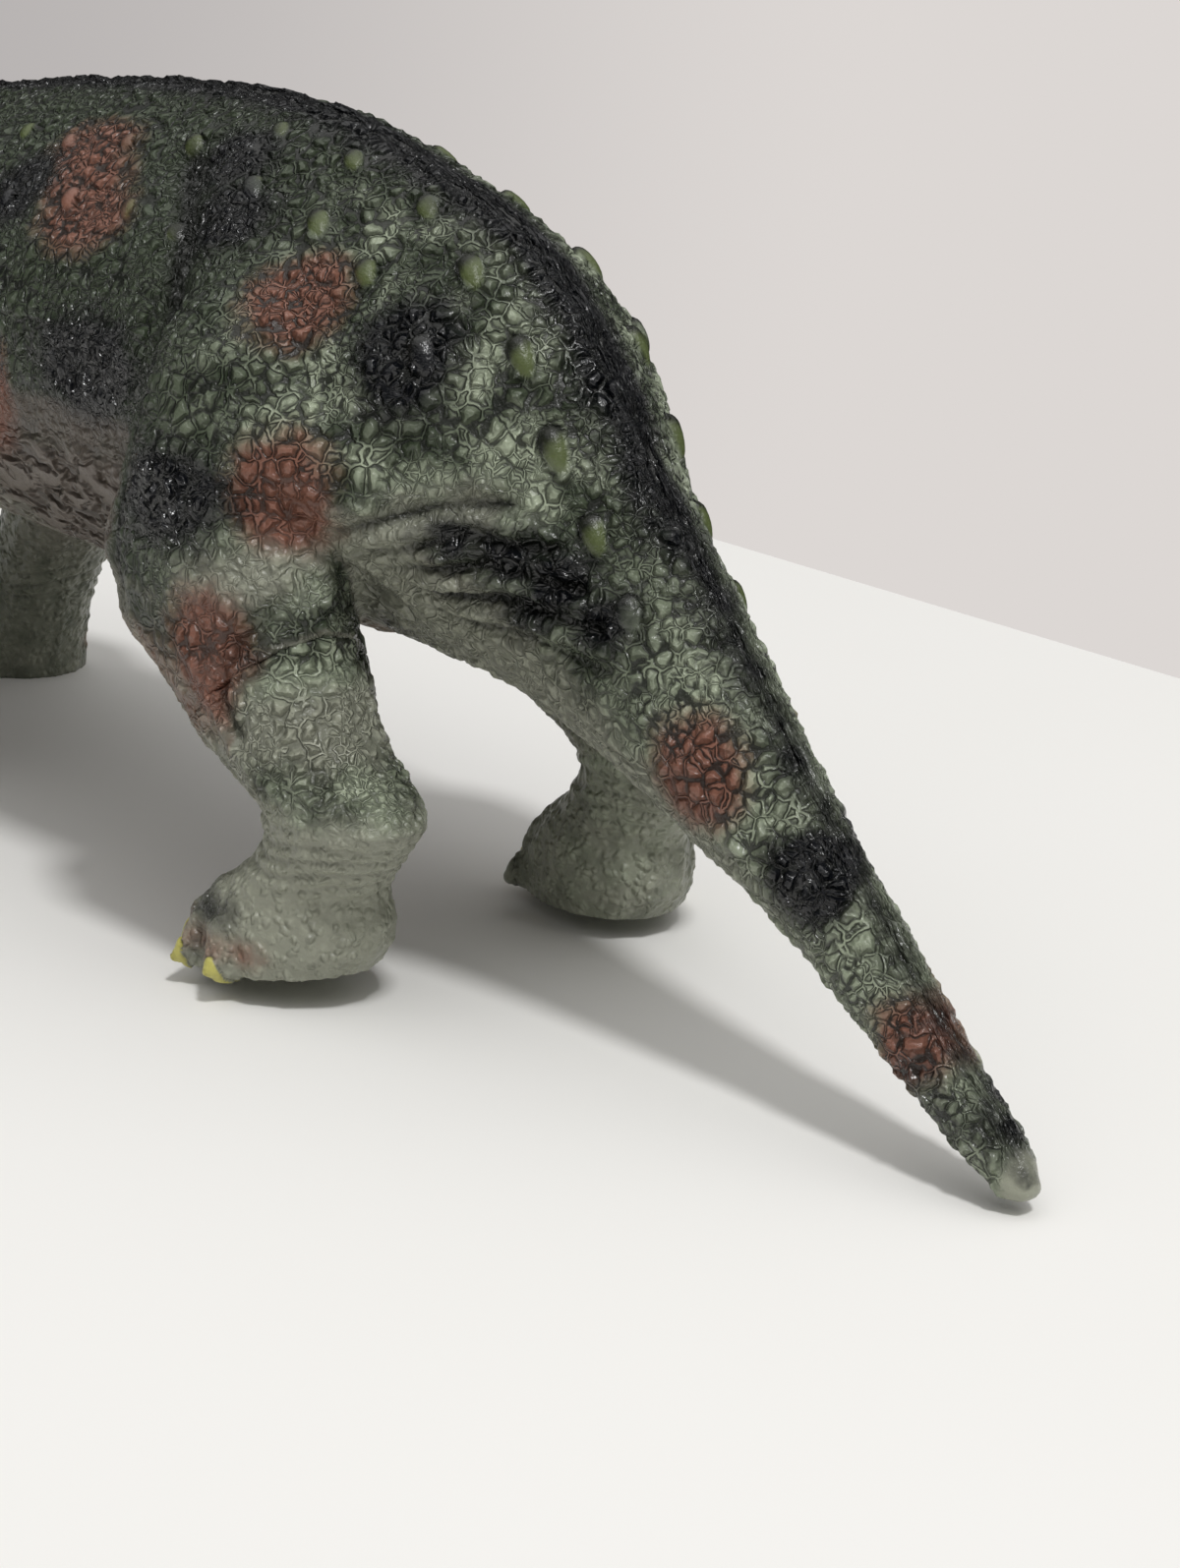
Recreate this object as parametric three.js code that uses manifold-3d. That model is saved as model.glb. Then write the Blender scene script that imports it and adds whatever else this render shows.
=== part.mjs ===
// Toy dinosaur figure: a horned, four-legged dinosaur about half a metre long, cast in soft vinyl and
// stuffed. The body casting holds the trunk, tail, thighs and shoulders. Four leg castings and the head
// casting plug into it. The head turns in the neck, and the rest is held by glue.
// Millimetres, +X towards the head, +Y the figure's left, +Z up.
import * as THREE from 'three';
import { mergeVertices } from 'three/addons/utils/BufferGeometryUtils.js';
import Module from 'manifold-3d';

const wasm = await Module();
wasm.setup();

// Driving dimensions of the figure
const trunkLength = 250;
const backHeight = 160;
const trunkDepth = 100;
const trunkWidth = 104;
const tailLength = 152;
const tailRootHeight = 80;
const tailRootWidth = 50;

// Castings and fits
const wall = 2.5;
const fitGap = 0.3;
const padGap = 1;
const overrun = 5;
const spigotLength = 7;

// Toes and claws, spread round the front of each foot from its inner to its outer side
const hindToeDegrees = [-52, -14, 26, 64, 98];
const frontToeDegrees = [-60, -30, 0, 30, 60];
const toeLength = 10.4;
const toeRadius = 4.6;
const toeHeight = 3.2;
const clawLength = 4.2;
const clawRadius = 2.6;
const clawDroop = 2.2;

// Hind legs
const hindTrack = 36.3;
const hindLegHeight = 122;
const hindLegDepth = 72;
const hindLegWidth = 40;
const hindCutHeight = 61;
const hindCutTiltDegrees = 41;
const hindCutForward = 4;
const hindFootTurnDegrees = 14;
const leftFootPitchDegrees = 5;
const leftFootRise = 0.8;

// Front legs
const frontTrack = 36.7;
const frontLegHeight = 108;
const frontLegDepth = 58;
const frontLegWidth = 38;
const shoulderReach = 198;
const rightFootStride = 47;
const leftFootStride = -8;
const frontCutHeight = 52;

// Neck joint
const neckHeight = 112;
const neckRadius = 31;
const throatRadius = 20;
const throatBoreRadius = 14;
const lipThickness = 3;
const flangeRadius = 25;
const flangeThickness = 3;
const neckTurnDegrees = 25;
const stopHalfDegrees = 7;
const stopClearDegrees = 1.5;
const stopDepth = 2.2;

// Head, frill and horns
const headWall = 6.5;
const headLength = 112;
const headDepth = 76;
const headWidth = 74;
const beakDrop = 27;
const frillHeight = 112;
const frillWidth = 122;
const frillThickness = 7;
const frillDish = 9;
const frillLeanDegrees = 26;
const frillReach = 46;
const frillRise = 12;
const frillTrim = 16;
const frillScallops = 14;
const frillScallopDepth = 2.4;
const browHornLength = 52;
const browHornRadius = 7.6;
const browHornBend = 8;
const browHornReach = 58;
const browHornSpread = 16;
const browHornTiltDegrees = 44;
const noseHornLength = 16;
const noseHornRadius = 6;
const noseHornBend = 2;
const noseHornReach = 90;
const noseHornTiltDegrees = 20;
const seatSink = 1.5;
const pegLength = 3.6;
const pegRadius = 2.6;
const eyeLength = 5.4;
const eyeDepth = 3;
const eyeProud = 1.7;
const eyeReach = 71;
const eyeRise = 5;

// Belly plug, which closes the stuffing hole
const plugReach = 118;
const plugHoleRadius = 10;
const plugFlangeRadius = 13;
const plugFlangeThickness = 1.6;
const plugBarb = 0.8;
const plugBarbThickness = 1.4;
const plugPadRadius = 16;
const plugSink = 2.4;

// Stuffing
const tailWadReach = 42;

// Trunk sections: along, middle height, half depth and half width,
// as shares of the trunk's length, back height, depth and width.
const trunkShares = [
  [-0.032, 0.613, 0.407, 0.335],
  [0.008, 0.636, 0.426, 0.363],
  [0.06, 0.652, 0.444, 0.39],
  [0.128, 0.666, 0.469, 0.42],
  [0.2, 0.676, 0.492, 0.44],
  [0.3, 0.68, 0.498, 0.46],
  [0.42, 0.679, 0.496, 0.475],
  [0.56, 0.674, 0.481, 0.485],
  [0.68, 0.673, 0.454, 0.47],
  [0.8, 0.685, 0.419, 0.44],
  [0.9, 0.703, 0.364, 0.365],
];

// How far the top of a trunk or tail section is drawn in to a ridge, as a share of its half width
const ridgePinchShare = 0.42;
// The ridge flattens out over this share of the trunk's length before the neck
const ridgeFadeShare = 0.16;

// Tail sections: along, middle height, half depth and half width,
// as shares of the tail's length, root height, root width and root width.
const tailShares = [
  [-0.996, 0.05, 0.03, 0.04],
  [-0.975, 0.063, 0.075, 0.08],
  [-0.934, 0.117, 0.098, 0.112],
  [-0.868, 0.205, 0.118, 0.13],
  [-0.809, 0.29, 0.143, 0.144],
  [-0.737, 0.395, 0.177, 0.163],
  [-0.664, 0.496, 0.207, 0.177],
  [-0.579, 0.605, 0.27, 0.21],
  [-0.454, 0.768, 0.371, 0.272],
  [-0.355, 0.894, 0.46, 0.323],
  [-0.257, 1.004, 0.546, 0.395],
  [-0.158, 1.12, 0.692, 0.546],
];

// Haunch sections, which carry the thighs into the root of the tail: along, middle height,
// half depth and half width, as shares of the tail's length, root height, root width and root width.
const haunchShares = [
  [0.23, 1.32, 0.4, 0.84],
  [0.17, 1.315, 0.47, 0.99],
  [0.1, 1.3, 0.48, 1],
  [0.04, 1.27, 0.475, 0.96],
  [-0.03, 1.225, 0.455, 0.86],
  [-0.09, 1.15, 0.43, 0.73],
  [-0.15, 1.075, 0.4, 0.59],
  [-0.21, 1, 0.37, 0.44],
  [-0.27, 0.93, 0.34, 0.32],
];

// Hind leg sections from hip to sole: forward, height, outward, half depth, half width and turn,
// as shares of the leg's depth, height, width, depth and width and of the foot's turn outwards.
// Outward is from the track line.
const hindLegShares = [
  [0.4, 1.1, -0.3, 0.13, 0.14, 0],
  [0.385, 1.03, -0.16, 0.22, 0.27, 0],
  [0.36, 0.97, -0.07, 0.29, 0.36, 0],
  [0.34, 0.8, 0.03, 0.34, 0.43, 0],
  [0.35, 0.63, 0.03, 0.43, 0.48, 0],
  [0.317, 0.53, 0, 0.4, 0.47, 0],
  [0.217, 0.475, 0, 0.36, 0.44, 0],
  [0.157, 0.434, 0, 0.33, 0.41, 0],
  [0.062, 0.381, 0, 0.31, 0.385, 0],
  [-0.078, 0.34, 0, 0.295, 0.36, 0],
  [-0.157, 0.305, 0, 0.265, 0.335, 0],
  [-0.14, 0.262, 0, 0.22, 0.32, 0.1],
  [-0.08, 0.215, 0, 0.21, 0.325, 0.4],
  [0.01, 0.165, 0.02, 0.25, 0.36, 0.8],
  [0.05, 0.11, 0.035, 0.31, 0.395, 1],
  [0.06, 0.07, 0.035, 0.305, 0.405, 1],
  [0.07, 0.036, 0.035, 0.275, 0.385, 1],
];

// Front leg sections from shoulder to sole, in the same order. Stride moves a section
// with the foot, and is the last value.
const frontLegShares = [
  [0.02, 1.12, -0.34, 0.18, 0.16, 0],
  [0, 1.02, -0.16, 0.42, 0.36, 0],
  [0, 0.88, 0, 0.5, 0.46, 0.05],
  [0.01, 0.72, 0.06, 0.47, 0.49, 0.14],
  [0, 0.57, 0.05, 0.39, 0.46, 0.3],
  [-0.03, 0.43, 0.02, 0.32, 0.41, 0.52],
  [-0.03, 0.31, 0, 0.275, 0.375, 0.7],
  [-0.01, 0.2, 0, 0.27, 0.37, 0.84],
  [0.01, 0.11, 0, 0.3, 0.41, 0.95],
  [0.02, 0.05, 0, 0.315, 0.43, 1],
  [0.02, 0, 0, 0.305, 0.425, 1],
];

// Skull sections behind the beak: along, middle height above the neck, half depth and half width,
// as shares of the head's length, beak drop, depth and width.
const skullShares = [
  [0.1, 0, 0.43, 0.45],
  [0.24, -0.02, 0.49, 0.5],
  [0.42, -0.12, 0.49, 0.48],
  [0.58, -0.3, 0.43, 0.39],
  [0.72, -0.52, 0.345, 0.275],
  [0.86, -0.72, 0.27, 0.18],
  [0.95, -0.95, 0.19, 0.12],
  [1, -1.15, 0.1, 0.06],
];

// Frill section from its middle out along the back face and in along the front face:
// radius and place, as shares of half the frill's height and of its dish
const frillBackShares = [
  [0, 1],
  [0.4, 0.82],
  [0.75, 0.38],
  [0.95, 0],
];

// Horn half widths from the seat to the tip, as shares of the horn's radius and length
const hornShares = [
  [0, 1],
  [0.25, 0.83],
  [0.5, 0.62],
  [0.75, 0.38],
  [0.93, 0.16],
  [1, 0.04],
];

// Colours
const skinColour = 0x5b6a54;
const legColour = 0x76806e;
const farLegColour = 0x5f675c;
const hornColour = 0xcdbf9a;
const eyeColour = 0x16130f;
const plugColour = 0x4c5148;
const fillColour = 0xe9e7e0;

// Surface counts
const trunkSides = 22;
const limbSides = 14;
const roundSides = 16;
const neckSides = 32;
const ringsPerGap = 2;
const skullSteps = 12;

const toRadians = THREE.MathUtils.degToRad;

// Turns a closed geometry into a solid for joins and cuts
function solidOf(geometry) {
  const bare = geometry.clone();
  bare.deleteAttribute('normal');
  bare.deleteAttribute('uv');
  const merged = mergeVertices(bare);
  const solid = new wasm.Manifold(
    new wasm.Mesh({
      numProp: 3,
      vertProperties: new Float32Array(merged.attributes.position.array),
      triVerts: new Uint32Array(merged.index.array),
    }),
  );
  return solid;
}

// Turns a solid back into a geometry
function geometryOf(solid) {
  const mesh = solid.getMesh();
  const geometry = new THREE.BufferGeometry();
  geometry.setAttribute('position', new THREE.BufferAttribute(new Float32Array(mesh.vertProperties), 3));
  geometry.setIndex(new THREE.BufferAttribute(new Uint32Array(mesh.triVerts), 1));
  geometry.computeVertexNormals();
  return geometry;
}

function moved(geometry, x, y, z) {
  return geometry.translate(x, y, z);
}

// A smooth value between b and c, with a and d their neighbours
function between(a, b, c, d, t) {
  const bend = 2 * a - 5 * b + 4 * c - d;
  const twist = 3 * b - a - 3 * c + d;
  return b + (t * (c - a + t * (bend + t * twist))) / 2;
}

// Adds smooth rows between the rows of a table
function smoothRows(rows, steps) {
  const smooth = [];
  for (let i = 0; i < rows.length - 1; i += 1) {
    const before = rows[Math.max(i - 1, 0)];
    const after = rows[Math.min(i + 2, rows.length - 1)];
    for (let step = 0; step < steps; step += 1) {
      const row = rows[i].map((value, k) => {
        return between(before[k], value, rows[i + 1][k], after[k], step / steps);
      });
      smooth.push(row);
    }
  }
  smooth.push(rows[rows.length - 1]);
  return smooth;
}

// A closed skin over rings of points, each ring set by its middle and two half axes,
// with its upper half drawn in by its pinch
function skinOver(rings, sides) {
  const points = [];
  const faces = [];
  rings.forEach(({ middle, up, side, pinch = 0 }) => {
    for (let i = 0; i < sides; i += 1) {
      const turn = (i / sides) * 2 * Math.PI;
      const rise = Math.cos(turn);
      const drawn = 1 - pinch * Math.max(rise, 0) ** 2;
      const point = middle.clone();
      point.addScaledVector(up, rise);
      point.addScaledVector(side, Math.sin(turn) * drawn);
      points.push(point);
    }
  });
  for (let ring = 0; ring < rings.length - 1; ring += 1) {
    for (let i = 0; i < sides; i += 1) {
      const next = (i + 1) % sides;
      const a = ring * sides + i;
      const b = ring * sides + next;
      const c = a + sides;
      const d = b + sides;
      faces.push(a, b, c, b, d, c);
    }
  }
  const first = points.push(rings[0].middle.clone()) - 1;
  const last = points.push(rings[rings.length - 1].middle.clone()) - 1;
  const lastRing = (rings.length - 1) * sides;
  for (let i = 0; i < sides; i += 1) {
    const next = (i + 1) % sides;
    faces.push(first, next, i, last, lastRing + i, lastRing + next);
  }
  const geometry = new THREE.BufferGeometry().setFromPoints(points);
  geometry.setIndex(faces);
  return geometry;
}

// Rows of [along, height, half depth, half width] swept in the middle plane, square to their path
function sweptRings(rows) {
  return rows.map((row, i) => {
    const before = rows[Math.max(i - 1, 0)];
    const after = rows[Math.min(i + 1, rows.length - 1)];
    const travel = new THREE.Vector3(after[0] - before[0], 0, after[1] - before[1]).normalize();
    const up = new THREE.Vector3(-travel.z, 0, travel.x);
    const side = new THREE.Vector3().crossVectors(travel, up);
    return {
      middle: new THREE.Vector3(row[0], 0, row[1]),
      up: up.multiplyScalar(row[2]),
      side: side.multiplyScalar(row[3]),
    };
  });
}

// Rows of [x, y, z, half depth, half width, turn, slope] stacked downwards as rings, each of
// which slopes down to the front
function stackedRings(rows) {
  const upright = new THREE.Vector3(0, 0, 1);
  return rows.map((row) => ({
    middle: new THREE.Vector3(row[0], row[1], row[2]),
    up: new THREE.Vector3(row[3], 0, -row[3] * row[6]).applyAxisAngle(upright, row[5]),
    side: new THREE.Vector3(0, -row[4], 0).applyAxisAngle(upright, row[5]),
  }));
}

// The same rows with their half sizes drawn in, without the rows that vanish
function drawnIn(rows, inset, firstHalf) {
  const thin = rows.map((row) => {
    return row.map((value, k) => (k === firstHalf || k === firstHalf + 1 ? value - inset : value));
  });
  return thin.filter((row) => Math.min(row[firstHalf], row[firstHalf + 1]) > wall / 2);
}

// Trunk and tail as one path from the tail's tip to the neck
const trunkRows = [
  ...tailShares.map(([along, height, depth, width]) => [
    along * tailLength,
    height * tailRootHeight,
    depth * tailRootWidth,
    width * tailRootWidth,
  ]),
  ...trunkShares.map(([along, height, depth, width]) => [
    along * trunkLength,
    height * backHeight,
    depth * trunkDepth,
    width * trunkWidth,
  ]),
  [trunkLength, neckHeight, neckRadius, neckRadius],
  [trunkLength + overrun, neckHeight, neckRadius, neckRadius],
];

// The haunch from the tail's root to the middle of the thighs
const haunchRows = haunchShares.toReversed().map(([along, height, depth, width]) => [
  along * tailLength,
  height * tailRootHeight,
  depth * tailRootWidth,
  width * tailRootWidth,
]);

function trunkSolid(inset, steps) {
  const rings = sweptRings(drawnIn(smoothRows(trunkRows, steps), inset, 2));
  const haunch = sweptRings(drawnIn(haunchRows, inset, 2));
  haunch.forEach((ring) => {
    ring.pinch = ridgePinchShare;
  });
  rings.forEach((ring) => {
    const fade = (trunkLength - ring.middle.x) / (trunkLength * ridgeFadeShare);
    ring.pinch = ridgePinchShare * THREE.MathUtils.clamp(fade, 0, 1);
  });
  return solidOf(skinOver(rings, trunkSides)).add(solidOf(skinOver(haunch, trunkSides)));
}

// One whole leg from inside the body to the sole
function hindLegRows(side, footRise, footPitch) {
  return hindLegShares.map(([forward, height, out, depth, width, turn]) => [
    forward * hindLegDepth,
    side * (hindTrack + out * hindLegWidth),
    height * hindLegHeight + turn * footRise,
    depth * hindLegDepth,
    width * hindLegWidth,
    side * turn * toRadians(hindFootTurnDegrees),
    turn * Math.tan(footPitch),
  ]);
}

function frontLegRows(side, stride) {
  return frontLegShares.map(([forward, height, out, depth, width, strideShare]) => [
    shoulderReach + forward * frontLegDepth + strideShare * stride,
    side * (frontTrack + out * frontLegWidth),
    height * frontLegHeight,
    depth * frontLegDepth,
    width * frontLegWidth,
    0,
    0,
  ]);
}

function legSolid(rows, inset, lift) {
  const inner = drawnIn(rows, inset, 3);
  const kept = lift > 0 ? inner.filter((row) => row[2] > rows[rows.length - 1][2] + lift) : inner;
  return solidOf(skinOver(stackedRings(kept), limbSides));
}

// The half space above a plane through a point, leaning back about the Y axis
function spaceAbove(x, z, tilt) {
  const size = 2 * (trunkLength + tailLength + headLength);
  const block = new THREE.BoxGeometry(size, size, size);
  moved(block, 0, 0, size / 2);
  block.rotateY(tilt);
  return solidOf(moved(block, x, 0, z));
}

const legs = [
  {
    name: 'hind_leg_left',
    rows: hindLegRows(1, leftFootRise, toRadians(leftFootPitchDegrees)),
    spread: hindToeDegrees,
    cut: [hindCutForward, hindCutHeight, toRadians(hindCutTiltDegrees)],
    colour: legColour,
  },
  {
    name: 'hind_leg_right',
    rows: hindLegRows(-1, 0, 0),
    spread: hindToeDegrees,
    cut: [hindCutForward, hindCutHeight, toRadians(hindCutTiltDegrees)],
    colour: legColour,
  },
  {
    name: 'front_leg_left',
    rows: frontLegRows(1, leftFootStride),
    spread: frontToeDegrees,
    cut: [shoulderReach, frontCutHeight, 0],
    colour: farLegColour,
  },
  {
    name: 'front_leg_right',
    rows: frontLegRows(-1, rightFootStride),
    spread: frontToeDegrees,
    cut: [shoulderReach, frontCutHeight, 0],
    colour: farLegColour,
  },
];

const group = new THREE.Group();

function addPiece(name, solid, colour, roughness, parent = group) {
  const material = new THREE.MeshStandardMaterial({ color: colour, roughness, metalness: 0 });
  const mesh = new THREE.Mesh(geometryOf(solid), material);
  mesh.name = name;
  parent.add(mesh);
}

// A point moved along a cut's normal
function cutSpace([x, z, tilt], along) {
  return spaceAbove(x + along * Math.sin(tilt), z + along * Math.cos(tilt), tilt);
}

// A rod along the neck's axis from one place to another
function neckRod(radius, from, to) {
  const rod = new THREE.CylinderGeometry(radius, radius, to - from, neckSides);
  rod.rotateZ(Math.PI / 2);
  return solidOf(moved(rod, (from + to) / 2, 0, neckHeight));
}

// A sector of a ring round the neck's axis, centred below it
function neckSector(inner, outer, from, to, halfDegrees) {
  const half = toRadians(halfDegrees);
  const down = -Math.PI / 2;
  const shape = new THREE.Shape();
  shape.absarc(0, 0, outer, down - half, down + half, false);
  shape.absarc(0, 0, inner, down + half, down - half, true);
  const options = { depth: to - from, bevelEnabled: false, curveSegments: neckSides / 4 };
  const geometry = new THREE.ExtrudeGeometry(shape, options);
  const axes = new THREE.Matrix4().makeBasis(
    new THREE.Vector3(0, 1, 0),
    new THREE.Vector3(0, 0, 1),
    new THREE.Vector3(1, 0, 0),
  );
  geometry.applyMatrix4(axes);
  return solidOf(moved(geometry, from, 0, neckHeight));
}

// An upright rod at the belly plug
function plugRod(radius, from, to) {
  const rod = new THREE.CylinderGeometry(radius, radius, to - from, roundSides);
  rod.rotateX(Math.PI / 2);
  return solidOf(moved(rod, plugReach, 0, (from + to) / 2));
}

// Everything in front of a place along the figure
function spaceAhead(x) {
  return spaceAbove(x, neckHeight, Math.PI / 2);
}

// Toes with a claw each, spread round the front of a foot whose sole row is given
function toeSolids(soleRow, spread) {
  const [x, y, z, depth, width, footTurn, slope] = soleRow;
  const upright = new THREE.Vector3(0, 0, 1);
  return spread.map((degrees) => {
    const turn = Math.sign(y) * toRadians(degrees);
    const along = turn - footTurn;
    const across = new THREE.Vector3(0, width * Math.sin(along), 0);
    const ahead = new THREE.Vector3(depth, 0, -depth * slope).multiplyScalar(Math.cos(along));
    const edge = ahead.add(across);
    edge.applyAxisAngle(upright, footTurn).add(new THREE.Vector3(x, y, z + toeHeight));
    const outward = new THREE.Vector3(Math.cos(turn), Math.sin(turn), 0);
    const toe = new THREE.SphereGeometry(toeRadius, roundSides / 2, roundSides / 2 - 2);
    toe.scale(toeLength / (2 * toeRadius), 1, 1);
    toe.rotateZ(turn);
    const toeMiddle = edge.clone().addScaledVector(outward, -toeRadius / 2);
    const solid = solidOf(moved(toe, toeMiddle.x, toeMiddle.y, toeMiddle.z));
    const claw = new THREE.ConeGeometry(clawRadius, clawLength, roundSides / 2);
    claw.rotateZ(-Math.PI / 2);
    claw.rotateY(Math.atan2(clawDroop, clawLength));
    claw.rotateZ(turn);
    const clawMiddle = edge.clone().addScaledVector(outward, clawLength / 2);
    return solid.add(solidOf(moved(claw, clawMiddle.x, clawMiddle.y, clawMiddle.z - clawDroop / 2)));
  });
}

// Everything below a level
function spaceBelow(z) {
  return spaceAbove(0, z, Math.PI);
}

// Body casting with its leg openings, and the leg castings that plug into them
let bodyOuter = trunkSolid(0, ringsPerGap).subtract(spaceAhead(trunkLength));
let bodyInner = trunkSolid(wall, 1).subtract(spaceAhead(trunkLength - lipThickness));
let bodyFill = trunkSolid(wall + padGap, 1);
bodyFill = bodyFill.subtract(spaceAhead(trunkLength - lipThickness - flangeThickness - fitGap - padGap));
legs.forEach(({ name, rows, spread, cut, colour }) => {
  const sole = rows[rows.length - 1];
  const toes = toeSolids(sole, spread);
  const outer = toes.reduce((whole, toe) => whole.add(toe), legSolid(rows, 0, 0));
  const casting = outer.subtract(spaceBelow(sole[2] - sole[3] * sole[6]));
  const spigot = legSolid(rows, wall + fitGap, wall).subtract(cutSpace(cut, spigotLength));
  const hollow = legSolid(rows, 2 * wall + fitGap, 2 * wall);
  const wad = legSolid(rows, 2 * wall + fitGap + padGap, 2 * wall + padGap);
  bodyOuter = bodyOuter.add(casting.intersect(cutSpace(cut, 0)));
  bodyInner = bodyInner.add(legSolid(rows, wall, wall));
  const room = legSolid(rows, wall, wall).subtract(cutSpace(cut, spigotLength + padGap));
  const upper = legSolid(rows, wall + padGap, wall).intersect(cutSpace(cut, spigotLength + padGap));
  bodyFill = bodyFill.subtract(room).add(upper);
  const below = casting.subtract(cutSpace(cut, -fitGap));
  addPiece(name, below.add(spigot).subtract(hollow), colour, 0.5);
  addPiece(`${name}_fill`, wad.subtract(cutSpace(cut, spigotLength)), fillColour, 0.95);
});

// Belly plug in its pad and hole
const bellyRow = smoothRows(trunkRows, ringsPerGap).find((row) => row[0] > plugReach);
const plugSeat = bellyRow[1] - bellyRow[2] + plugSink;
const pad = plugRod(plugPadRadius, plugSeat, plugSeat + wall).intersect(bodyOuter);
const recess = plugRod(plugFlangeRadius + fitGap, plugSeat - trunkDepth / 2, plugSeat);
const plugHole = plugRod(plugHoleRadius, plugSeat - overrun, plugSeat + wall + overrun);
const throat = neckRod(throatRadius, trunkLength - lipThickness - overrun, trunkLength + overrun);
// A nib in the throat that stops the head's turn
const lipStart = trunkLength - lipThickness;
const nibTop = throatRadius - stopDepth;
const nib = neckSector(nibTop, throatRadius + lipThickness, lipStart, trunkLength, stopHalfDegrees);
const body = bodyOuter
  .subtract(bodyInner)
  .add(pad)
  .subtract(recess)
  .subtract(plugHole)
  .subtract(throat)
  .add(nib)
  .subtract(spaceBelow(0));
addPiece('body_skin', body, skinColour, 0.45);

const plugStem = plugHoleRadius - fitGap;
const plugTop = plugSeat + wall + fitGap;
const plug = plugRod(plugFlangeRadius, plugSeat - fitGap - plugFlangeThickness, plugSeat - fitGap)
  .add(plugRod(plugStem, plugSeat - fitGap - plugFlangeThickness, plugTop + plugBarbThickness))
  .add(plugRod(plugHoleRadius + plugBarb, plugTop, plugTop + plugBarbThickness));
addPiece('belly_plug', plug, plugColour, 0.5);

const plugRoom = plugRod(plugPadRadius + padGap, plugSeat - overrun, plugTop + plugBarbThickness + padGap);
bodyFill = bodyFill.subtract(plugRoom);
addPiece('torso_fill', bodyFill.intersect(spaceAhead(-tailWadReach)), fillColour, 0.95);
addPiece('tail_fill', bodyFill.subtract(spaceAhead(-tailWadReach - fitGap)), fillColour, 0.95);

// Head casting: skull, dished frill and the neck stub with its flange
const headStart = trunkLength + fitGap;
const skullRows = [
  [headStart - overrun, neckHeight, neckRadius, neckRadius],
  [headStart, neckHeight, neckRadius, neckRadius],
  ...skullShares.map(([along, height, depth, width]) => [
    headStart + along * headLength,
    neckHeight + height * beakDrop,
    depth * headDepth,
    width * headWidth,
  ]),
];

function skullSolid(inset, steps) {
  return solidOf(skinOver(sweptRings(drawnIn(smoothRows(skullRows, steps), inset, 2)), limbSides + 2));
}

function frillSolid() {
  const radius = frillHeight / 2;
  const back = frillBackShares.map(([out, dish]) => new THREE.Vector2(out * radius, dish * frillDish));
  const front = back.map((point) => new THREE.Vector2(point.x, point.y + frillThickness)).reverse();
  const rim = new THREE.Vector2(radius, frillThickness / 2);
  const geometry = new THREE.LatheGeometry([...back, rim, ...front], 2 * frillScallops);
  const place = geometry.attributes.position;
  for (let i = 0; i < place.count; i += 1) {
    const point = new THREE.Vector3().fromBufferAttribute(place, i);
    const out = Math.hypot(point.x, point.z);
    const wave = Math.cos(Math.atan2(point.z, point.x) * frillScallops);
    const grow = 1 + ((frillScallopDepth * wave) / 2 / radius) * (out / radius) ** 4;
    place.setXYZ(i, point.x * grow, point.y, point.z * grow);
  }
  geometry.rotateZ(-Math.PI / 2);
  geometry.scale(1, frillWidth / frillHeight, 1);
  geometry.rotateY(toRadians(-frillLeanDegrees));
  moved(geometry, headStart + frillReach, 0, neckHeight + frillRise);
  return solidOf(geometry).subtract(spaceBelow(neckHeight - frillTrim));
}

// A horn on its seat, pointing along +Z and bending towards +X, with a peg below the seat
function hornSolid(length, radius, bend, clear) {
  const rings = hornShares.map(([along, width]) => ({
    middle: new THREE.Vector3(-bend * along * along, 0, clear + along * length),
    up: new THREE.Vector3(width * radius, 0, 0),
    side: new THREE.Vector3(0, width * radius, 0),
  }));
  const peg = new THREE.CylinderGeometry(pegRadius, pegRadius, pegLength + clear, roundSides / 2);
  peg.rotateX(Math.PI / 2);
  moved(peg, 0, 0, clear - (pegLength + clear) / 2);
  return solidOf(skinOver(rings, roundSides / 2)).add(solidOf(peg));
}

// The room that a horn needs in the head: a flat seat and a hole for its peg
function hornRoom(length, radius) {
  const seat = new THREE.CylinderGeometry(radius + fitGap, radius + fitGap, length, roundSides / 2);
  seat.rotateX(Math.PI / 2);
  const holeRadius = pegRadius + fitGap;
  const holeLength = pegLength + 2 * fitGap;
  const hole = new THREE.CylinderGeometry(holeRadius, holeRadius, holeLength, roundSides / 2);
  hole.rotateX(Math.PI / 2);
  moved(hole, 0, 0, -pegLength / 2);
  return solidOf(moved(seat, 0, 0, length / 2)).add(solidOf(hole));
}

// Height of the skull's top at a reach along it and a spread to the side
function skullTop(reach, spread) {
  const row = smoothRows(skullRows, skullSteps).find(([x]) => x > headStart + reach);
  return row[1] + row[2] * Math.cos(Math.asin(spread / row[3]));
}

// Half width of the skull at a reach along it and a rise above the neck's axis
function skullSide(reach, rise) {
  const row = smoothRows(skullRows, skullSteps).find(([x]) => x > headStart + reach);
  return row[3] * Math.cos(Math.asin((neckHeight + rise - row[1]) / row[2]));
}

const horns = [
  {
    name: 'brow_horn_left',
    size: [browHornLength, browHornRadius, browHornBend],
    place: [browHornReach, browHornSpread],
    tilt: browHornTiltDegrees,
  },
  {
    name: 'brow_horn_right',
    size: [browHornLength, browHornRadius, browHornBend],
    place: [browHornReach, -browHornSpread],
    tilt: browHornTiltDegrees,
  },
  {
    name: 'nose_horn',
    size: [noseHornLength, noseHornRadius, noseHornBend],
    place: [noseHornReach, 0],
    tilt: noseHornTiltDegrees,
  },
];

function seated(solid, { place, tilt }) {
  const [reach, spread] = place;
  const seat = skullTop(reach, spread) - seatSink;
  return solid.rotate([0, tilt, 0]).translate([headStart + reach, spread, seat]);
}

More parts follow.
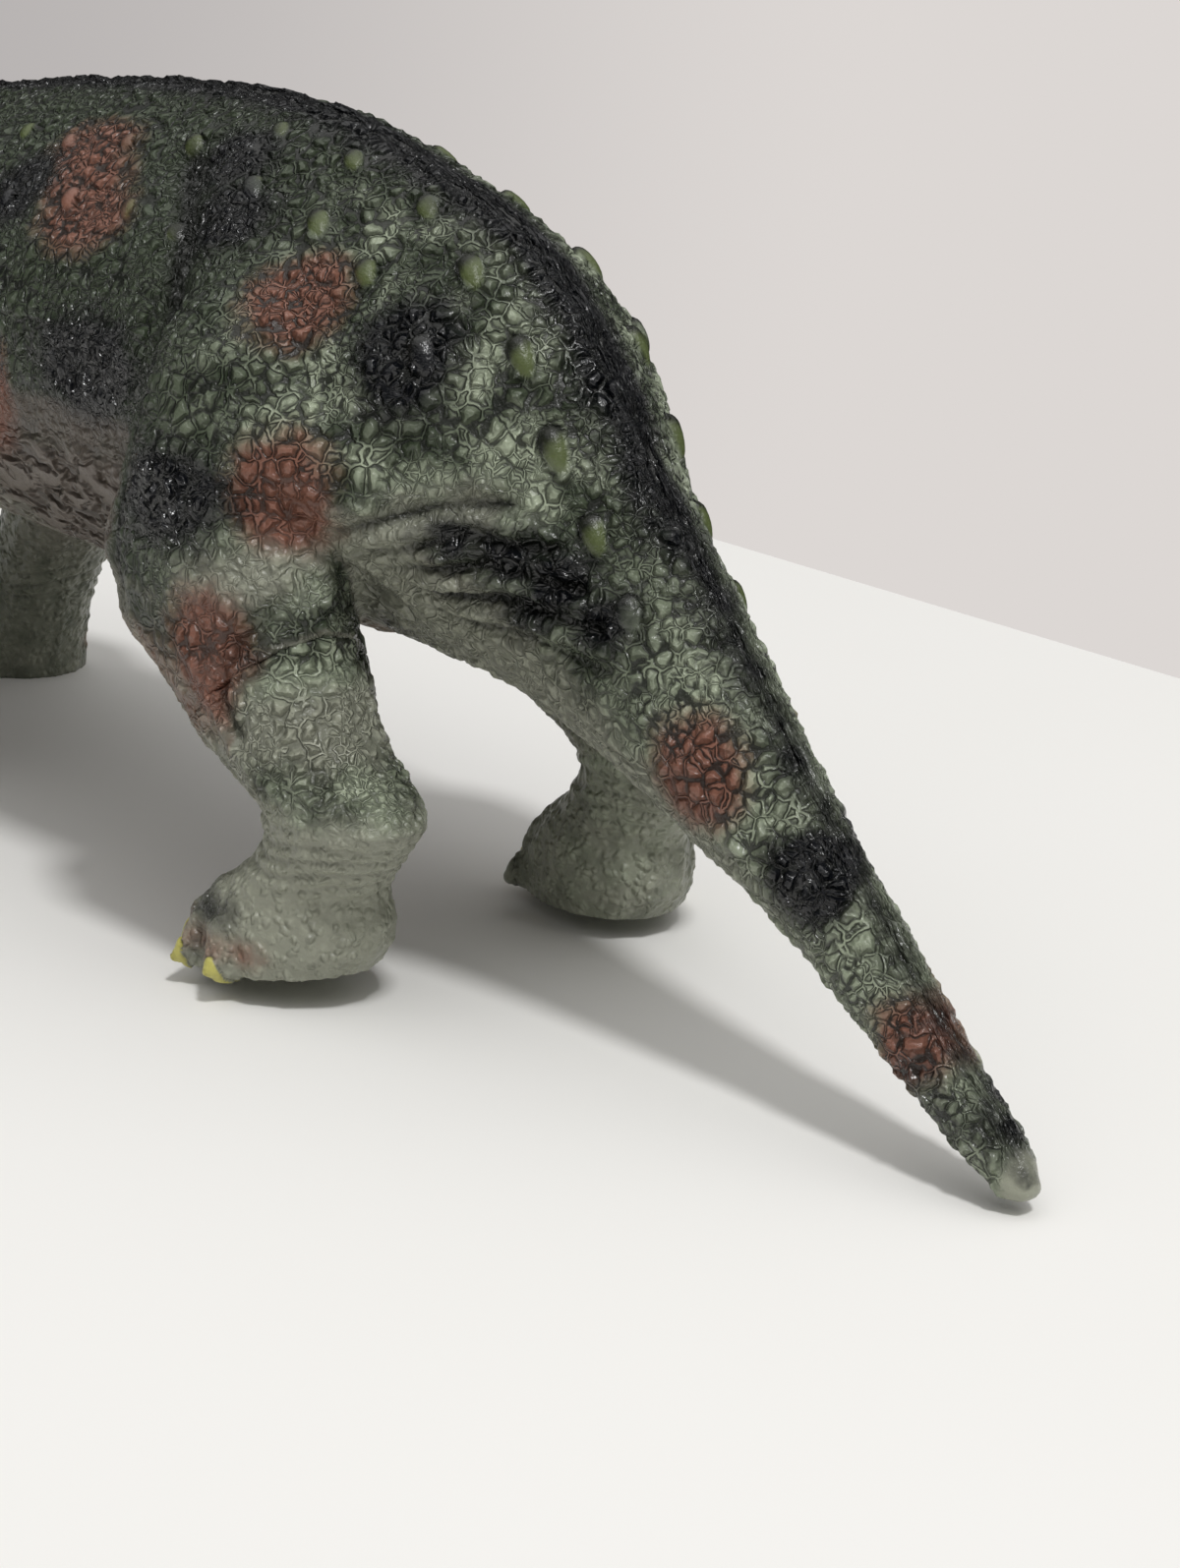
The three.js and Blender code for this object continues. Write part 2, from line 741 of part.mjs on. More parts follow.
function eyeBall(side, clear) {
  const ball = new THREE.SphereGeometry(1, roundSides / 2, roundSides / 2 - 2);
  ball.scale(eyeLength + clear, eyeDepth + clear, eyeLength + clear);
  const out = skullSide(eyeReach, eyeRise) - eyeDepth + eyeProud;
  return solidOf(moved(ball, headStart + eyeReach, side * out, neckHeight + eyeRise));
}

const stubStart = trunkLength - lipThickness - fitGap;
const stub = neckRod(throatRadius - fitGap, stubStart - flangeThickness, headStart + headWall).add(
  neckRod(flangeRadius, stubStart - flangeThickness, stubStart),
);
const stopHalf = stopHalfDegrees + neckTurnDegrees + stopClearDegrees;
const notchRadius = nibTop - 2 * fitGap;
const stopNotch = neckSector(notchRadius, throatRadius, stubStart, headStart, stopHalf);
const boreStart = stubStart - flangeThickness - overrun;
const neckBore = neckRod(throatBoreRadius, boreStart, headStart + headWall + overrun);
// The hollow stops behind the nose horn, so the beak is solid
const hollowEnd = headStart + noseHornReach - noseHornRadius - headWall;
const headHollow = skullSolid(headWall, 1)
  .intersect(spaceAhead(headStart + headWall))
  .subtract(spaceAhead(hollowEnd));
let head = skullSolid(0, ringsPerGap).intersect(spaceAhead(headStart));
head = head.add(frillSolid()).add(stub).subtract(stopNotch).subtract(headHollow).subtract(neckBore);
let headWad = skullSolid(headWall + padGap, 1)
  .intersect(spaceAhead(headStart + headWall + padGap))
  .subtract(spaceAhead(hollowEnd - padGap));
horns.forEach((horn) => {
  const [length, radius, bend] = horn.size;
  const room = seated(hornRoom(length, radius), horn);
  head = head.subtract(room);
  headWad = headWad.subtract(room);
  addPiece(horn.name, seated(hornSolid(length, radius, bend, fitGap), horn), hornColour, 0.4);
});
[1, -1].forEach((side) => {
  head = head.subtract(eyeBall(side, fitGap));
  headWad = headWad.subtract(eyeBall(side, padGap));
  addPiece(side > 0 ? 'eye_left' : 'eye_right', eyeBall(side, 0), eyeColour, 0.12);
});
addPiece('head_skin', head, skinColour, 0.45);

addPiece('head_fill', headWad, fillColour, 0.95);

// The figure stands with the middle of its box over the origin
const box = new THREE.Box3().setFromObject(group);
const middle = box.getCenter(new THREE.Vector3());
group.position.set(-middle.x, -middle.y, -box.min.z);

export default group;
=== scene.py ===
"""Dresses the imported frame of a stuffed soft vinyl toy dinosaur: cast skins with their scales,
bosses and sprayed paint, horns, eyes, plug and stuffing, on a pale table."""

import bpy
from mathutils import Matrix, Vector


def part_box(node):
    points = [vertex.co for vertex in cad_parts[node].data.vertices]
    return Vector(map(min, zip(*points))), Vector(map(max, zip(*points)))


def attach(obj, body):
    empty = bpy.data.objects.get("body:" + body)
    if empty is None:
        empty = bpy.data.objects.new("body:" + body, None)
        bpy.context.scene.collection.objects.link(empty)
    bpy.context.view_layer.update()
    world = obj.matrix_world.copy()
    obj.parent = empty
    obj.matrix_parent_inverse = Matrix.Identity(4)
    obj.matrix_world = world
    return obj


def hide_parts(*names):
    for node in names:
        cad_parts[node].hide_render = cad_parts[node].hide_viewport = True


bl_info = {
    "name": "Soft Vinyl Dinosaur",
    "version": (1, 0, 0),
    "blender": (4, 5, 0),
    "location": "3D View > Sidebar > Dinosaur",
    "description": "Builds the finished pieces of a stuffed soft vinyl toy dinosaur",
    "category": "Object",
}

import math

import bmesh
import bpy
import numpy as np
from bpy.props import FloatProperty, FloatVectorProperty, PointerProperty
from mathutils import Quaternion, Vector
from mathutils.bvhtree import BVHTree

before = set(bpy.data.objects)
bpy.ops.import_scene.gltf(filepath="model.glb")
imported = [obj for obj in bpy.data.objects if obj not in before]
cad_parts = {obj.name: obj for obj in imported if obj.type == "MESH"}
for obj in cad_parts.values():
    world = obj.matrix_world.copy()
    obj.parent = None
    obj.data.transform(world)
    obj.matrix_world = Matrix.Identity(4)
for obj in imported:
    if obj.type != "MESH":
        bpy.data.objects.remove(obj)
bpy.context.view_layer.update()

MM = 0.001

# Voxel sizes of the skins, in metres
BODY_VOXEL = 1.0 * MM
HEAD_VOXEL = 0.95 * MM
LEG_VOXEL = 0.55 * MM
HORN_VOXEL = 0.5 * MM
FILL_VOXEL = 2.5 * MM

# Most triangles that a skin keeps
MOST_FACES = 190000

# Distance from the stuffing within which a point belongs to a skin's inner face
INNER_REACH = 2.1 * MM

# Distance from the next casting within which a skin keeps its CAD form
SEAM_REACH = 1.3 * MM

# How far a skin stands out beside a seam on the body and on a leg, in millimetres
BODY_LIP = 0.3
LEG_LIP = 0.15

# Way that a boss's point hangs, and the way of its shaded front on the left side
BOSS_DOWN = (-0.55, 0, -0.9)
BOSS_FRONT = (0.75, 0.3, 0.6)

# Bosses along the left flank in millimetres: place, half length, half width and height
BOSSES = (
    ((-2, 24, 146), 2.3, 1.9, 1.2),
    ((-22, 22, 148), 2.2, 1.9, 1.1),
    ((-43, 20, 149), 2.8, 2.1, 1.5),
    ((-61, 12, 153), 2.4, 1.9, 1.2),
    ((-83, 10, 149), 3.0, 2.1, 1.5),
    ((-106, 10, 143), 3.2, 2.3, 1.7),
    ((-124, 13, 134), 3.8, 2.4, 1.9),
    ((-139, 13, 121), 3.9, 2.3, 2.0),
    ((-149, 13, 106), 4.1, 2.4, 2.2),
    ((-159, 12, 93), 3.6, 2.3, 2.0),
    ((-169, 12, 81), 3.2, 2.4, 1.9),
    ((-20, 34, 137), 2.8, 2.3, 1.5),
    ((-41, 33, 137), 2.4, 2.0, 1.0),
    ((-57, 33, 135), 2.2, 1.9, 0.9),
    ((-69, 23, 143), 3.2, 2.3, 1.7),
    ((-89, 22, 139), 3.4, 2.3, 1.7),
    ((-106, 23, 132), 3.0, 2.3, 1.7),
    ((-125, 24, 120), 3.6, 2.5, 2.0),
    ((18, 23, 147), 2.4, 2.0, 1.2),
    ((38, 22, 147), 2.5, 2.0, 1.3),
    ((58, 23, 145), 2.6, 2.0, 1.3),
    ((78, 22, 142), 2.6, 2.0, 1.3),
    ((98, 21, 138), 2.4, 1.9, 1.2),
    ((2, 37, 136), 2.4, 2.0, 1.2),
    ((26, 38, 134), 2.6, 2.1, 1.3),
    ((50, 38, 132), 2.6, 2.1, 1.3),
    ((74, 36, 129), 2.4, 2.0, 1.2),
    ((96, 33, 125), 2.3, 1.9, 1.1),
)

# Sprayed spots on the left side in millimetres: place, and reach along, across and up
BROWN_SPOTS = (
    ((-12, 25, 146), (13, 9, 8)),
    ((-20, 31, 141), (13, 9, 9)),
    ((-28, 35, 135), (14, 9, 9)),
    ((-97, 31, 126), (10, 11, 10)),
    ((-108, 40, 95), (11, 12, 11)),
    ((-99, 53, 65), (9, 14, 12)),
    ((-187, 12, 57), (10, 11, 10)),
    ((-236, 4, 23), (8, 10, 8)),
    ((-6, 49, 99), (12, 12, 14)),
    ((34, 38, 130), (11, 11, 10)),
    ((66, 46, 104), (11, 12, 11)),
    ((112, 34, 112), (9, 12, 9)),
    ((96, 50, 76), (10, 13, 11)),
    ((178, 45, 150), (11, 12, 10)),
    ((200, 24, 100), (10, 12, 9)),
)
BLACK_SPOTS = (
    ((0, 35, 139), (10, 11, 11)),
    ((-58, 20, 148), (11, 9, 8)),
    ((-69, 28, 138), (11, 9, 9)),
    ((-122, 25, 119), (11, 12, 13)),
    ((-47, 46, 109), (19, 12, 10)),
    ((-88, 52, 92), (16, 12, 10)),
    ((-136, 24, 89), (6, 8, 5)),
    ((-146, 21, 87), (7.5, 8, 6)),
    ((-155, 17, 84), (8, 8, 7)),
    ((-151, 20, 79), (7, 8, 4.5)),
    ((-165, 14, 79), (8, 8, 6)),
    ((-212, 6, 45), (10, 11, 10)),
    ((-246, -3, 16), (5, 5, 5)),
    ((-252, -1, 12), (5, 5, 5)),
    ((24, 48, 104), (12, 12, 11)),
    ((60, 34, 134), (11, 11, 9)),
    ((92, 38, 116), (10, 12, 10)),
    ((118, 30, 90), (9, 12, 10)),
    ((80, 52, 88), (9, 12, 8)),
    ((170, 30, 130), (9, 12, 10)),
    ((178, 52, 120), (12, 12, 10)),
    ((176, 30, 165), (12, 12, 9)),
)
# The right side's spots stand this much further forward
SPOT_SHIFT = 6.0
SPOT_SOFTNESS = 4.6

# Dark stripe along the spine and tail in millimetres: places from the front, and half widths there
STRIPE_PLACES = (-230, -185, -150)
STRIPE_HALVES = (2.0, 3.5, 7.0)
STRIPE_MIDDLE = 1.5
STRIPE_SOFTNESS = 10.0
LEATHER_HALF = 2.5

# The sharp fold behind the knee: heights and places along the toy
KNEE_HEIGHTS = (51, 57, 62, 67, 73, 79)
KNEE_PLACES = (-106.7, -102.8, -102.7, -105, -110.4, -111.7)

# Middle of the pale skin along the haunch's lower edge, and its half width, in millimetres
GROIN_LINE = (
    (-98, 54, 76),
    (-106, 49, 79),
    (-112, 38, 85),
    (-123, 34, 88),
    (-131, 30, 91),
    (-140, 24, 94),
)
GROIN_HALF = 7

# Front edge of the haunch and fold behind the knee on the left side, in millimetres
HAUNCH_LINE = (
    (-47, 24, 148),
    (-62, 34, 134),
    (-69, 44, 122),
    (-70, 50, 106),
    (-69, 51, 90),
    (-70, 50, 74),
)
KNEE_LINE = (
    (-113, 41, 79),
    (-110, 45.5, 73),
    (-105, 49.5, 67),
    (-103, 51.4, 62),
    (-103, 51.7, 57),
    (-107, 50.6, 51),
)
# Folds on the left side in millimetres: points, half width and depth
FOLDS = (
    (HAUNCH_LINE, 5.0, 1.6),
    (((-112, 41, 82), (-122, 33, 90), (-134, 28, 95), (-148, 23, 97)), 2.0, 1.5),
    (((-114, 38, 79), (-126, 31, 86), (-139, 26, 90), (-155, 19, 90)), 1.8, 2.0),
    (((-117, 35, 77), (-129, 29, 82), (-143, 24, 85), (-160, 18, 84)), 1.8, 2.0),
    (((-120, 32, 75), (-132, 26, 77), (-147, 21, 79), (-165, 16, 78)), 1.7, 1.9),
    (((-122, 29, 73), (-135, 22, 72), (-150, 18, 73), (-167, 14, 71)), 1.6, 1.3),
)
KNEE_FOLD = ((KNEE_LINE, 1.6, 1.1),)
HEAD_FOLDS = (
    (((256, 3, 84), (244, 12, 84), (228, 17, 84), (212, 25, 88), (203, 27, 93)), 1.1, 1.5),
    (((226, 19, 112), (219, 22, 108), (209, 27, 109), (203, 29, 115)), 1.6, 1.3),
    (((150, 30, 128), (152, 37, 112), (151, 33, 92)), 2.2, 1.0),
    (((162, 31, 134), (164, 38, 112), (162, 33, 90)), 2.2, 1.0),
)
# A fold's points snap to the skin within this distance
SNAP_REACH = 4.0

# Left nostril in millimetres: place, half width and depth
NOSTRIL = ((245, 9, 101), 2.2, 1.6)

# Where the neck's collar and the beak start along the toy, the height of the frill's middle, how
# far from it the edge starts and the rise of the edge's knobs, in millimetres
COLLAR_PLACE = 141
BEAK_PLACE = 234
FRILL_HEIGHT = 124
FRILL_REACH = 46
KNOB_RISE = 1.1

# Toe directions out from straight ahead in degrees, and for each leg the middle of its foot along
# the toy in millimetres
HIND_TOES = (-52, -14, 26, 64, 98)
FRONT_TOES = (-60, -30, 0, 30, 60)
LEGS = {
    "hind_leg_left": (HIND_TOES, -100),
    "hind_leg_right": (HIND_TOES, -100),
    "front_leg_left": (FRONT_TOES, 84),
    "front_leg_right": (FRONT_TOES, 139),
}
# Share of pale coat on the near hind leg, the far one and the front legs; the far hind leg and the
# front legs get less of it as painted shade
PALE_SHARES_WITH_SHADE = (1.0, 0.62, 0.55)
# Heights over the sole in millimetres: the toes, the middles of the claws, of the brown knuckles
# and of the instep, darkened partly by its own dark paint and partly as painted shade, and the ankle's
# wrinkles
FOOT_HEIGHT = 9
CLAW_HEIGHT = 2.9
KNUCKLE_HEIGHT = 7
INSTEP_HEIGHT = 13.5
ANKLE_HEIGHT = 27

# How far a claw reaches back and how far wrinkles and lines stand out, in millimetres, and half the
# angle of a toe in radians
CLAW_REACH = 7
WRINKLE_RISE = 0.25
LINE_RISE = 0.1
TOE_HALF = 0.2

# Middle of the eyes along and up, and the lids' distance from it and rise, in millimetres
EYE_PLACE = (213.2, 117.0)
LID_REACH = 7.2
LID_RISE = 1.4

# Camera of the photograph: focal length and sensor in millimetres, turn, rise and roll in degrees,
# distance and target in metres
LENS = 72.23
SENSOR = 36
CAMERA_TURNS = (231.39, 16.41, 1.48)
CAMERA_DISTANCE = 0.55939
CAMERA_TARGET = (-0.15179, 0.00556, 0.04561)

# Two points of the table's far edge, the way to the lamp, its distance and its width, in metres
TABLE_EDGE = ((0.175, -0.292, 0), (-0.039, -0.282, 0))
LAMP_WAY = (-0.445, 0.107, 0.89)
LAMP_DISTANCE = 6.0
LAMP_WIDTH = 0.82


def linear(code):
    """Linear colour of an sRGB hex code"""
    parts = [int(code[i : i + 2], 16) / 255 for i in (1, 3, 5)]
    return [p / 12.92 if p <= 0.04045 else ((p + 0.055) / 1.055) ** 2.4 for p in parts] + [1.0]


def add(tree, kind, links=None, **settings):
    """Adds a node with its settings, and sets or links its inputs"""
    node = tree.nodes.new(kind)
    for name, value in settings.items():
        setattr(node, name, value)
    for key, value in (links or {}).items():
        socket = node.inputs[key]
        if isinstance(value, bpy.types.NodeSocket):
            tree.links.new(value, socket)
        else:
            socket.default_value = value
    return node


def math_node(tree, operation, *values, clamp=False):
    links = dict(enumerate(values))
    return add(tree, "ShaderNodeMath", links, operation=operation, use_clamp=clamp).outputs[0]


def ramp(tree, value, low, high, to_low=0.0, to_high=1.0):
    """Smooth step of a value between two limits"""
    links = {"Value": value, "From Min": low, "From Max": high, "To Min": to_low, "To Max": to_high}
    return add(tree, "ShaderNodeMapRange", links, interpolation_type="SMOOTHSTEP").outputs["Result"]


def mixed(tree, share, first, second):
    """Two colours mixed by a share"""
    links = {0: share, 6: first, 7: second}
    return add(tree, "ShaderNodeMix", links, data_type="RGBA").outputs[2]


def blended(tree, share, first, second):
    """Two values mixed by a share"""
    return add(tree, "ShaderNodeMix", {0: share, 2: first, 3: second}, data_type="FLOAT").outputs[0]


def product(tree, first, second):
    return math_node(tree, "MULTIPLY", first, second)


def vector_node(tree, operation, first, second):
    """Vector maths on a vector and another one, or a number where it is scaled"""
    links = {0: first, "Scale" if operation == "SCALE" else 1: second}
    return add(tree, "ShaderNodeVectorMath", links, operation=operation).outputs[0]


def millimetres(tree, where):
    return vector_node(tree, "SCALE", where, 1 / MM)


def attribute(tree, name, output="Fac"):
    return add(tree, "ShaderNodeAttribute", attribute_name=name).outputs[output]


def noise(tree, where, size, detail=2.0, rough=0.5, output="Fac"):
    """Noise whose lumps are about the given size in millimetres"""
    links = {"Vector": where, "Scale": 1 / size, "Detail": detail, "Roughness": rough}
    return add(tree, "ShaderNodeTexNoise", links).outputs[output]


def warped(tree, where, size, reach):
    """The place pushed about by noise, up to half the reach in millimetres each way"""
    colour = noise(tree, where, size, output="Color")
    centred = vector_node(tree, "SUBTRACT", colour, (0.5, 0.5, 0.5))
    return vector_node(tree, "ADD", where, vector_node(tree, "SCALE", centred, reach))


def stretched(tree, where, x, y, z):
    """The place with each axis drawn out by a factor"""
    return vector_node(tree, "MULTIPLY", where, (1 / x, 1 / y, 1 / z))


def scale_cells(tree, place, size, dome_height, rim_height):
    """Height of the scales, each a low dome inside a broken raised rim, and the share of painted shade
    in the groove round it
    """
    links = {"Vector": place, "Scale": 1 / size, "Randomness": 0.85}
    edge = add(tree, "ShaderNodeTexVoronoi", links, feature="DISTANCE_TO_EDGE").outputs["Distance"]
    dome = ramp(tree, edge, 0.06, 0.34, 0.0, dome_height)
    if not rim_height:
        return dome, dome
    whole = ramp(tree, noise(tree, place, size * 1.1, 1.0), 0.42, 0.52)
    crest = product(tree, whole, ramp(tree, edge, 0.03, 0.11, 1.0, 0.0))
    height = math_node(tree, "MULTIPLY_ADD", crest, rim_height, dome)
    groove = ramp(tree, edge, 0.09, 0.17, 1.0, 0.0)
    return height, math_node(tree, "SUBTRACT", groove, crest, clamp=True)


def scale_relief(tree, where, rim, settings):
    """Patches of large and small scales"""
    place = warped(tree, where, 3.5, 2.4)
    large = scale_cells(tree, place, settings.large_scale / MM, 0.62, 0.42 * rim)
    small = scale_cells(tree, place, settings.small_scale / MM, 0.38, 0.3 * rim)
    patches = ramp(tree, noise(tree, where, 12.0, 1.0), 0.5, 0.6)
    return [blended(tree, patches, a, b) for a, b in zip(large, small)]


def pit_relief(tree, where):
    """Fine pits of the bare skin, and the painted shade in them"""
    links = {"Vector": warped(tree, where, 4.0, 3.0), "Scale": 1 / 1.9}
    pits = add(tree, "ShaderNodeTexVoronoi", links, feature="F1").outputs["Distance"]
    return ramp(tree, pits, 0.1, 0.65, 0.34, 0.0), ramp(tree, pits, 0.35, 0.8, 0.0, 0.5)


def wrinkle_relief(tree, where):
    """Sideways wrinkles of the belly, and the painted shade in their hollows"""
    place = stretched(tree, warped(tree, where, 9.0, 6.0), 3.2, 2.0, 1.3)
    folds = noise(tree, place, 3.2, 2.0, 0.6)
    return ramp(tree, folds, 0.4, 0.58, 0.0, 1.0), ramp(tree, folds, 0.36, 0.48, 1.0, 0.0)


def spine_relief(tree, where):
    """Leathery streaks along the spine, and the painted shade between them"""
    streaks = noise(tree, stretched(tree, where, 6.0, 1.0, 6.0), 1.5, 3.0, 0.65)
    return ramp(tree, streaks, 0.38, 0.62, 0.0, 1.0), ramp(tree, streaks, 0.36, 0.5, 1.0, 0.0)


def skin_relief(tree, where, read, rim, settings):
    """Height in millimetres of the cast skin, with its scales' rims where rim is 1, and how far
    painted shade darkens its hollows"""
    kinds = {
        "pebble": scale_relief(tree, where, rim, settings),
        "wrinkle": wrinkle_relief(tree, where),
        "spine": spine_relief(tree, where),
    }
    both = pit_relief(tree, where)
    for key, kind in kinds.items():
        share = read(key)
        both = [blended(tree, share, a, b) for a, b in zip(both, kind)]
    rough = math_node(tree, "SUBTRACT", 1.0, read("bare"))
    return [product(tree, value, rough) for value in both]


def relief_tree(settings):
    """Geometry nodes that raise the cast skin with the same forms as the vinyl material"""
    tree = bpy.data.node_groups.new("Cast skin", "GeometryNodeTree")
    for way in ("INPUT", "OUTPUT"):
        tree.interface.new_socket("Geometry", in_out=way, socket_type="NodeSocketGeometry")

    def read(key):
        node = add(tree, "GeometryNodeInputNamedAttribute", {"Name": key}, data_type="FLOAT")
        return node.outputs[0]

    start = add(tree, "NodeGroupInput").outputs[0]
    place = add(tree, "GeometryNodeInputPosition").outputs[0]
    links = {"Geometry": start, "Name": "rest", "Value": place}
    kind = "GeometryNodeStoreNamedAttribute"
    stored = add(tree, kind, links, data_type="FLOAT_VECTOR", domain="POINT").outputs[0]
    where = millimetres(tree, place)
    height = skin_relief(tree, where, read, 0.0, settings)[0]
    lumps = ramp(tree, noise(tree, where, 5.0, 3.0), 0.3, 0.7, -0.4, 0.0)
    height = math_node(tree, "ADD", height, lumps)
    reach = product(tree, product(tree, height, read("outer")), settings.relief * MM)
    normal = add(tree, "GeometryNodeInputNormal").outputs[0]
    push = vector_node(tree, "SCALE", normal, reach)
    moved = add(tree, "GeometryNodeSetPosition", {"Geometry": stored, "Offset": push}).outputs[0]
    add(tree, "NodeGroupOutput", {0: moved})
    return tree


def sprayed_colour(tree, where, read, hollow_shade, settings):
    """Sprayed coats from the green ground to the claws, with painted shade in the hollows, the folds
    and on the bosses' upper fronts
    """
    lumps = noise(tree, where, 7.0, 4.0, 0.62)
    ragged = math_node(tree, "SUBTRACT", lumps, 0.5)

    def coat(key, low, high):
        """Share of a coat, ragged only where it fades"""
        share = read(key)
        edge = product(tree, share, math_node(tree, "SUBTRACT", 1.0, share))
        frayed = product(tree, product(tree, edge, 4.0), ragged)
        return ramp(tree, math_node(tree, "ADD", frayed, share), low, high)

    # The green is lighter in random clouds, lighter still toward the tail as painted light, and all
    # dark green over the front of the body as painted shade
    cloud_and_painted_light = ramp(tree, noise(tree, where, 10.0, 2.0), 0.35, 0.65)
    along = add(tree, "ShaderNodeSeparateXYZ", {0: where}).outputs[0]
    cloud_and_painted_light = math_node(tree, "MAXIMUM", cloud_and_painted_light, ramp(tree, along, -190.0, -150.0, 0.8, 0.0))
    cloud_and_painted_light = product(tree, cloud_and_painted_light, ramp(tree, along, -116.0, -74.0, 1.0, 0.0))
    colour = mixed(tree, cloud_and_painted_light, settings.painted_shade_green, settings.green)
    coats = {
        "belly": settings.belly_grey,
        "pale": settings.leg_green,
        "olive": settings.boss_olive,
        "brown": settings.spot_brown,
        "black": settings.spot_black,
    }
    for key, sprayed in coats.items():
        colour = mixed(tree, coat(key, 0.1, 0.9), colour, sprayed)
    colour = mixed(tree, coat("claw", 0.35, 0.6), colour, settings.claw_yellow)
    # Painted shade: darkens the hollows, less on the pale and belly coats, and the folds and the
    # bosses' upper fronts
    soft = math_node(tree, "MAXIMUM", read("pale"), read("belly"))
    shade_share = product(tree, hollow_shade, blended(tree, soft, 0.92, 0.5))
    shade_share = math_node(tree, "MAXIMUM", shade_share, product(tree, read("crease"), 0.95))
    return mixed(tree, shade_share, colour, settings.painted_shade_dark)


def new_material(name, look, settings, place_attribute="", depth=MM):
    """A material whose look gives the colour, roughness, height and shine at a place in
    millimetres, taken from Object coordinates or the piece's own attribute. Depth is the bump's
    for each millimetre of height"""
    material = bpy.data.materials.new(name)
    material.use_nodes = True
    tree = material.node_tree
    tree.nodes.clear()
    if place_attribute:
        place = attribute(tree, place_attribute, "Vector")
    else:
        place = add(tree, "ShaderNodeTexCoord").outputs["Object"]
    colour, rough, height, shine = look(tree, millimetres(tree, place), settings)
    links = {"Base Color": colour, "Roughness": rough, **shine}
    if height is not None:
        bump = add(tree, "ShaderNodeBump", {"Height": height, "Distance": depth})
        links["Normal"] = bump.outputs["Normal"]
    surface = add(tree, "ShaderNodeBsdfPrincipled", links)
    add(tree, "ShaderNodeOutputMaterial", {"Surface": surface.outputs[0]})
    return material


def skin_look(tree, where, settings):
    """Rotocast soft PVC with sprayed paint. The mould gives it satin scales with thin bright rims,
    the grooves are darkened with painted shade, and the sprayed black dries glossier than the rest."""

    def read(key):
        return attribute(tree, key)

    height, hollow_shade = skin_relief(tree, where, read, 1.0, settings)
    fine = noise(tree, where, 0.8, 3.0, 0.6)
    height = math_node(tree, "MULTIPLY_ADD", fine, 0.1, height)
    rough = math_node(tree, "MULTIPLY_ADD", fine, 0.12, blended(tree, read("black"), 0.25, 0.1))
    colour = sprayed_colour(tree, where, read, hollow_shade, settings)
    shine = {"IOR": 1.5, "Specular IOR Level": blended(tree, read("black"), 0.42, 0.55)}
    return colour, rough, height, shine


def skin_vinyl(settings):
    """The vinyl that every skin shares, placed as the skin was before its scales were raised"""
    name = "Sprayed soft PVC"
    shared = bpy.data.materials.get(name)
    return shared or new_material(name, skin_look, settings, "rest", settings.bump)


def piece(name, mesh):
    made = bpy.data.objects.new(name, mesh)
    bpy.context.scene.collection.objects.link(made)
    return made


def from_bmesh(name, bm):
    mesh = bpy.data.meshes.new(name)
    bm.to_mesh(mesh)
    bm.free()
    return piece(name, mesh)


def copy_of(node, name):
    """A merged copy of a CAD node's mesh as a new piece"""
    bm = bmesh.new()
    bm.from_mesh(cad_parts[node].data)
    bmesh.ops.remove_doubles(bm, verts=bm.verts, dist=0.001 * MM)
    return from_bmesh(name, bm)


def applied(made):
    """Puts the piece's modifiers into its mesh"""
    bpy.context.view_layer.update()
    graph = bpy.context.evaluated_depsgraph_get()
    mesh = bpy.data.meshes.new_from_object(made.evaluated_get(graph))
    made.modifiers.clear()
    old = made.data
    made.data = mesh
    bpy.data.meshes.remove(old)
    mesh.name = made.name
    return made


def remeshed(made, size):
    layer = made.modifiers.new("Skin", "REMESH")
    layer.mode = "VOXEL"
    layer.voxel_size = size
    return applied(made)


def smooth(made):
    made.data.polygons.foreach_set("use_smooth", np.ones(len(made.data.polygons), bool))
    return made


def values_of(items, name, width, kind=np.float32):
    """One value or vector for each item of a mesh, as rows"""
    rows = np.empty(len(items) * width, kind)
    items.foreach_get(name, rows)
    return rows.reshape(-1, width)


def points_of(made):
    """Vertex places in millimetres"""
    return values_of(made.data.vertices, "co", 3).astype(float) / MM


def normals_of(made):
    return values_of(made.data.vertex_normals, "vector", 3).astype(float)


def edges_of(made):
    return values_of(made.data.edges, "vertices", 2, np.int32)


def move_points(made, spots):
    made.data.vertices.foreach_set("co", (spots * MM).astype(np.float32).ravel())
    made.data.update()


def store(made, **layers):
    """Keeps values for each point of a piece, for its material to read"""
    for name, values in layers.items():
        layer = made.data.attributes.new(name, "FLOAT", "POINT")
        layer.data.foreach_set("value", np.clip(values, 0, 1).astype(np.float32))


def step(values, none, full):
    """Smooth step from 0 at one limit to 1 at the other, whichever is larger"""
    share = np.clip((values - none) / (full - none), 0, 1)
    return share * share * (3 - 2 * share)


def hump(values, middle, reach):
    return np.exp(-(((values - middle) / reach) ** 2))


def most(*values):
    return np.maximum.reduce(np.broadcast_arrays(*values))


def distance(spots, place):
    return np.linalg.norm(spots - place, axis=1)


def relaxed(spots, edges, weight, rounds, give=0.5, back=-0.515):
    """Evens out points over their neighbours without shrinking the form"""
    count = len(spots)
    degree = np.bincount(edges.ravel(), minlength=count).clip(1)
    for turn in range(rounds * 2):
        mean = np.empty_like(spots)
        for axis in range(3):
            column = spots[:, axis]
            total = np.bincount(edges[:, 0], column[edges[:, 1]], count)
            total += np.bincount(edges[:, 1], column[edges[:, 0]], count)
            mean[:, axis] = total / degree
        share = give if turn % 2 == 0 else back
        spots = spots + (mean - spots) * np.reshape(share * weight, (-1, 1))
    return spots


def evened(made, weight, rounds):
    """Evens out a piece and gives its points"""
    spots = relaxed(points_of(made), edges_of(made), weight, rounds)
    move_points(made, spots)
    return spots


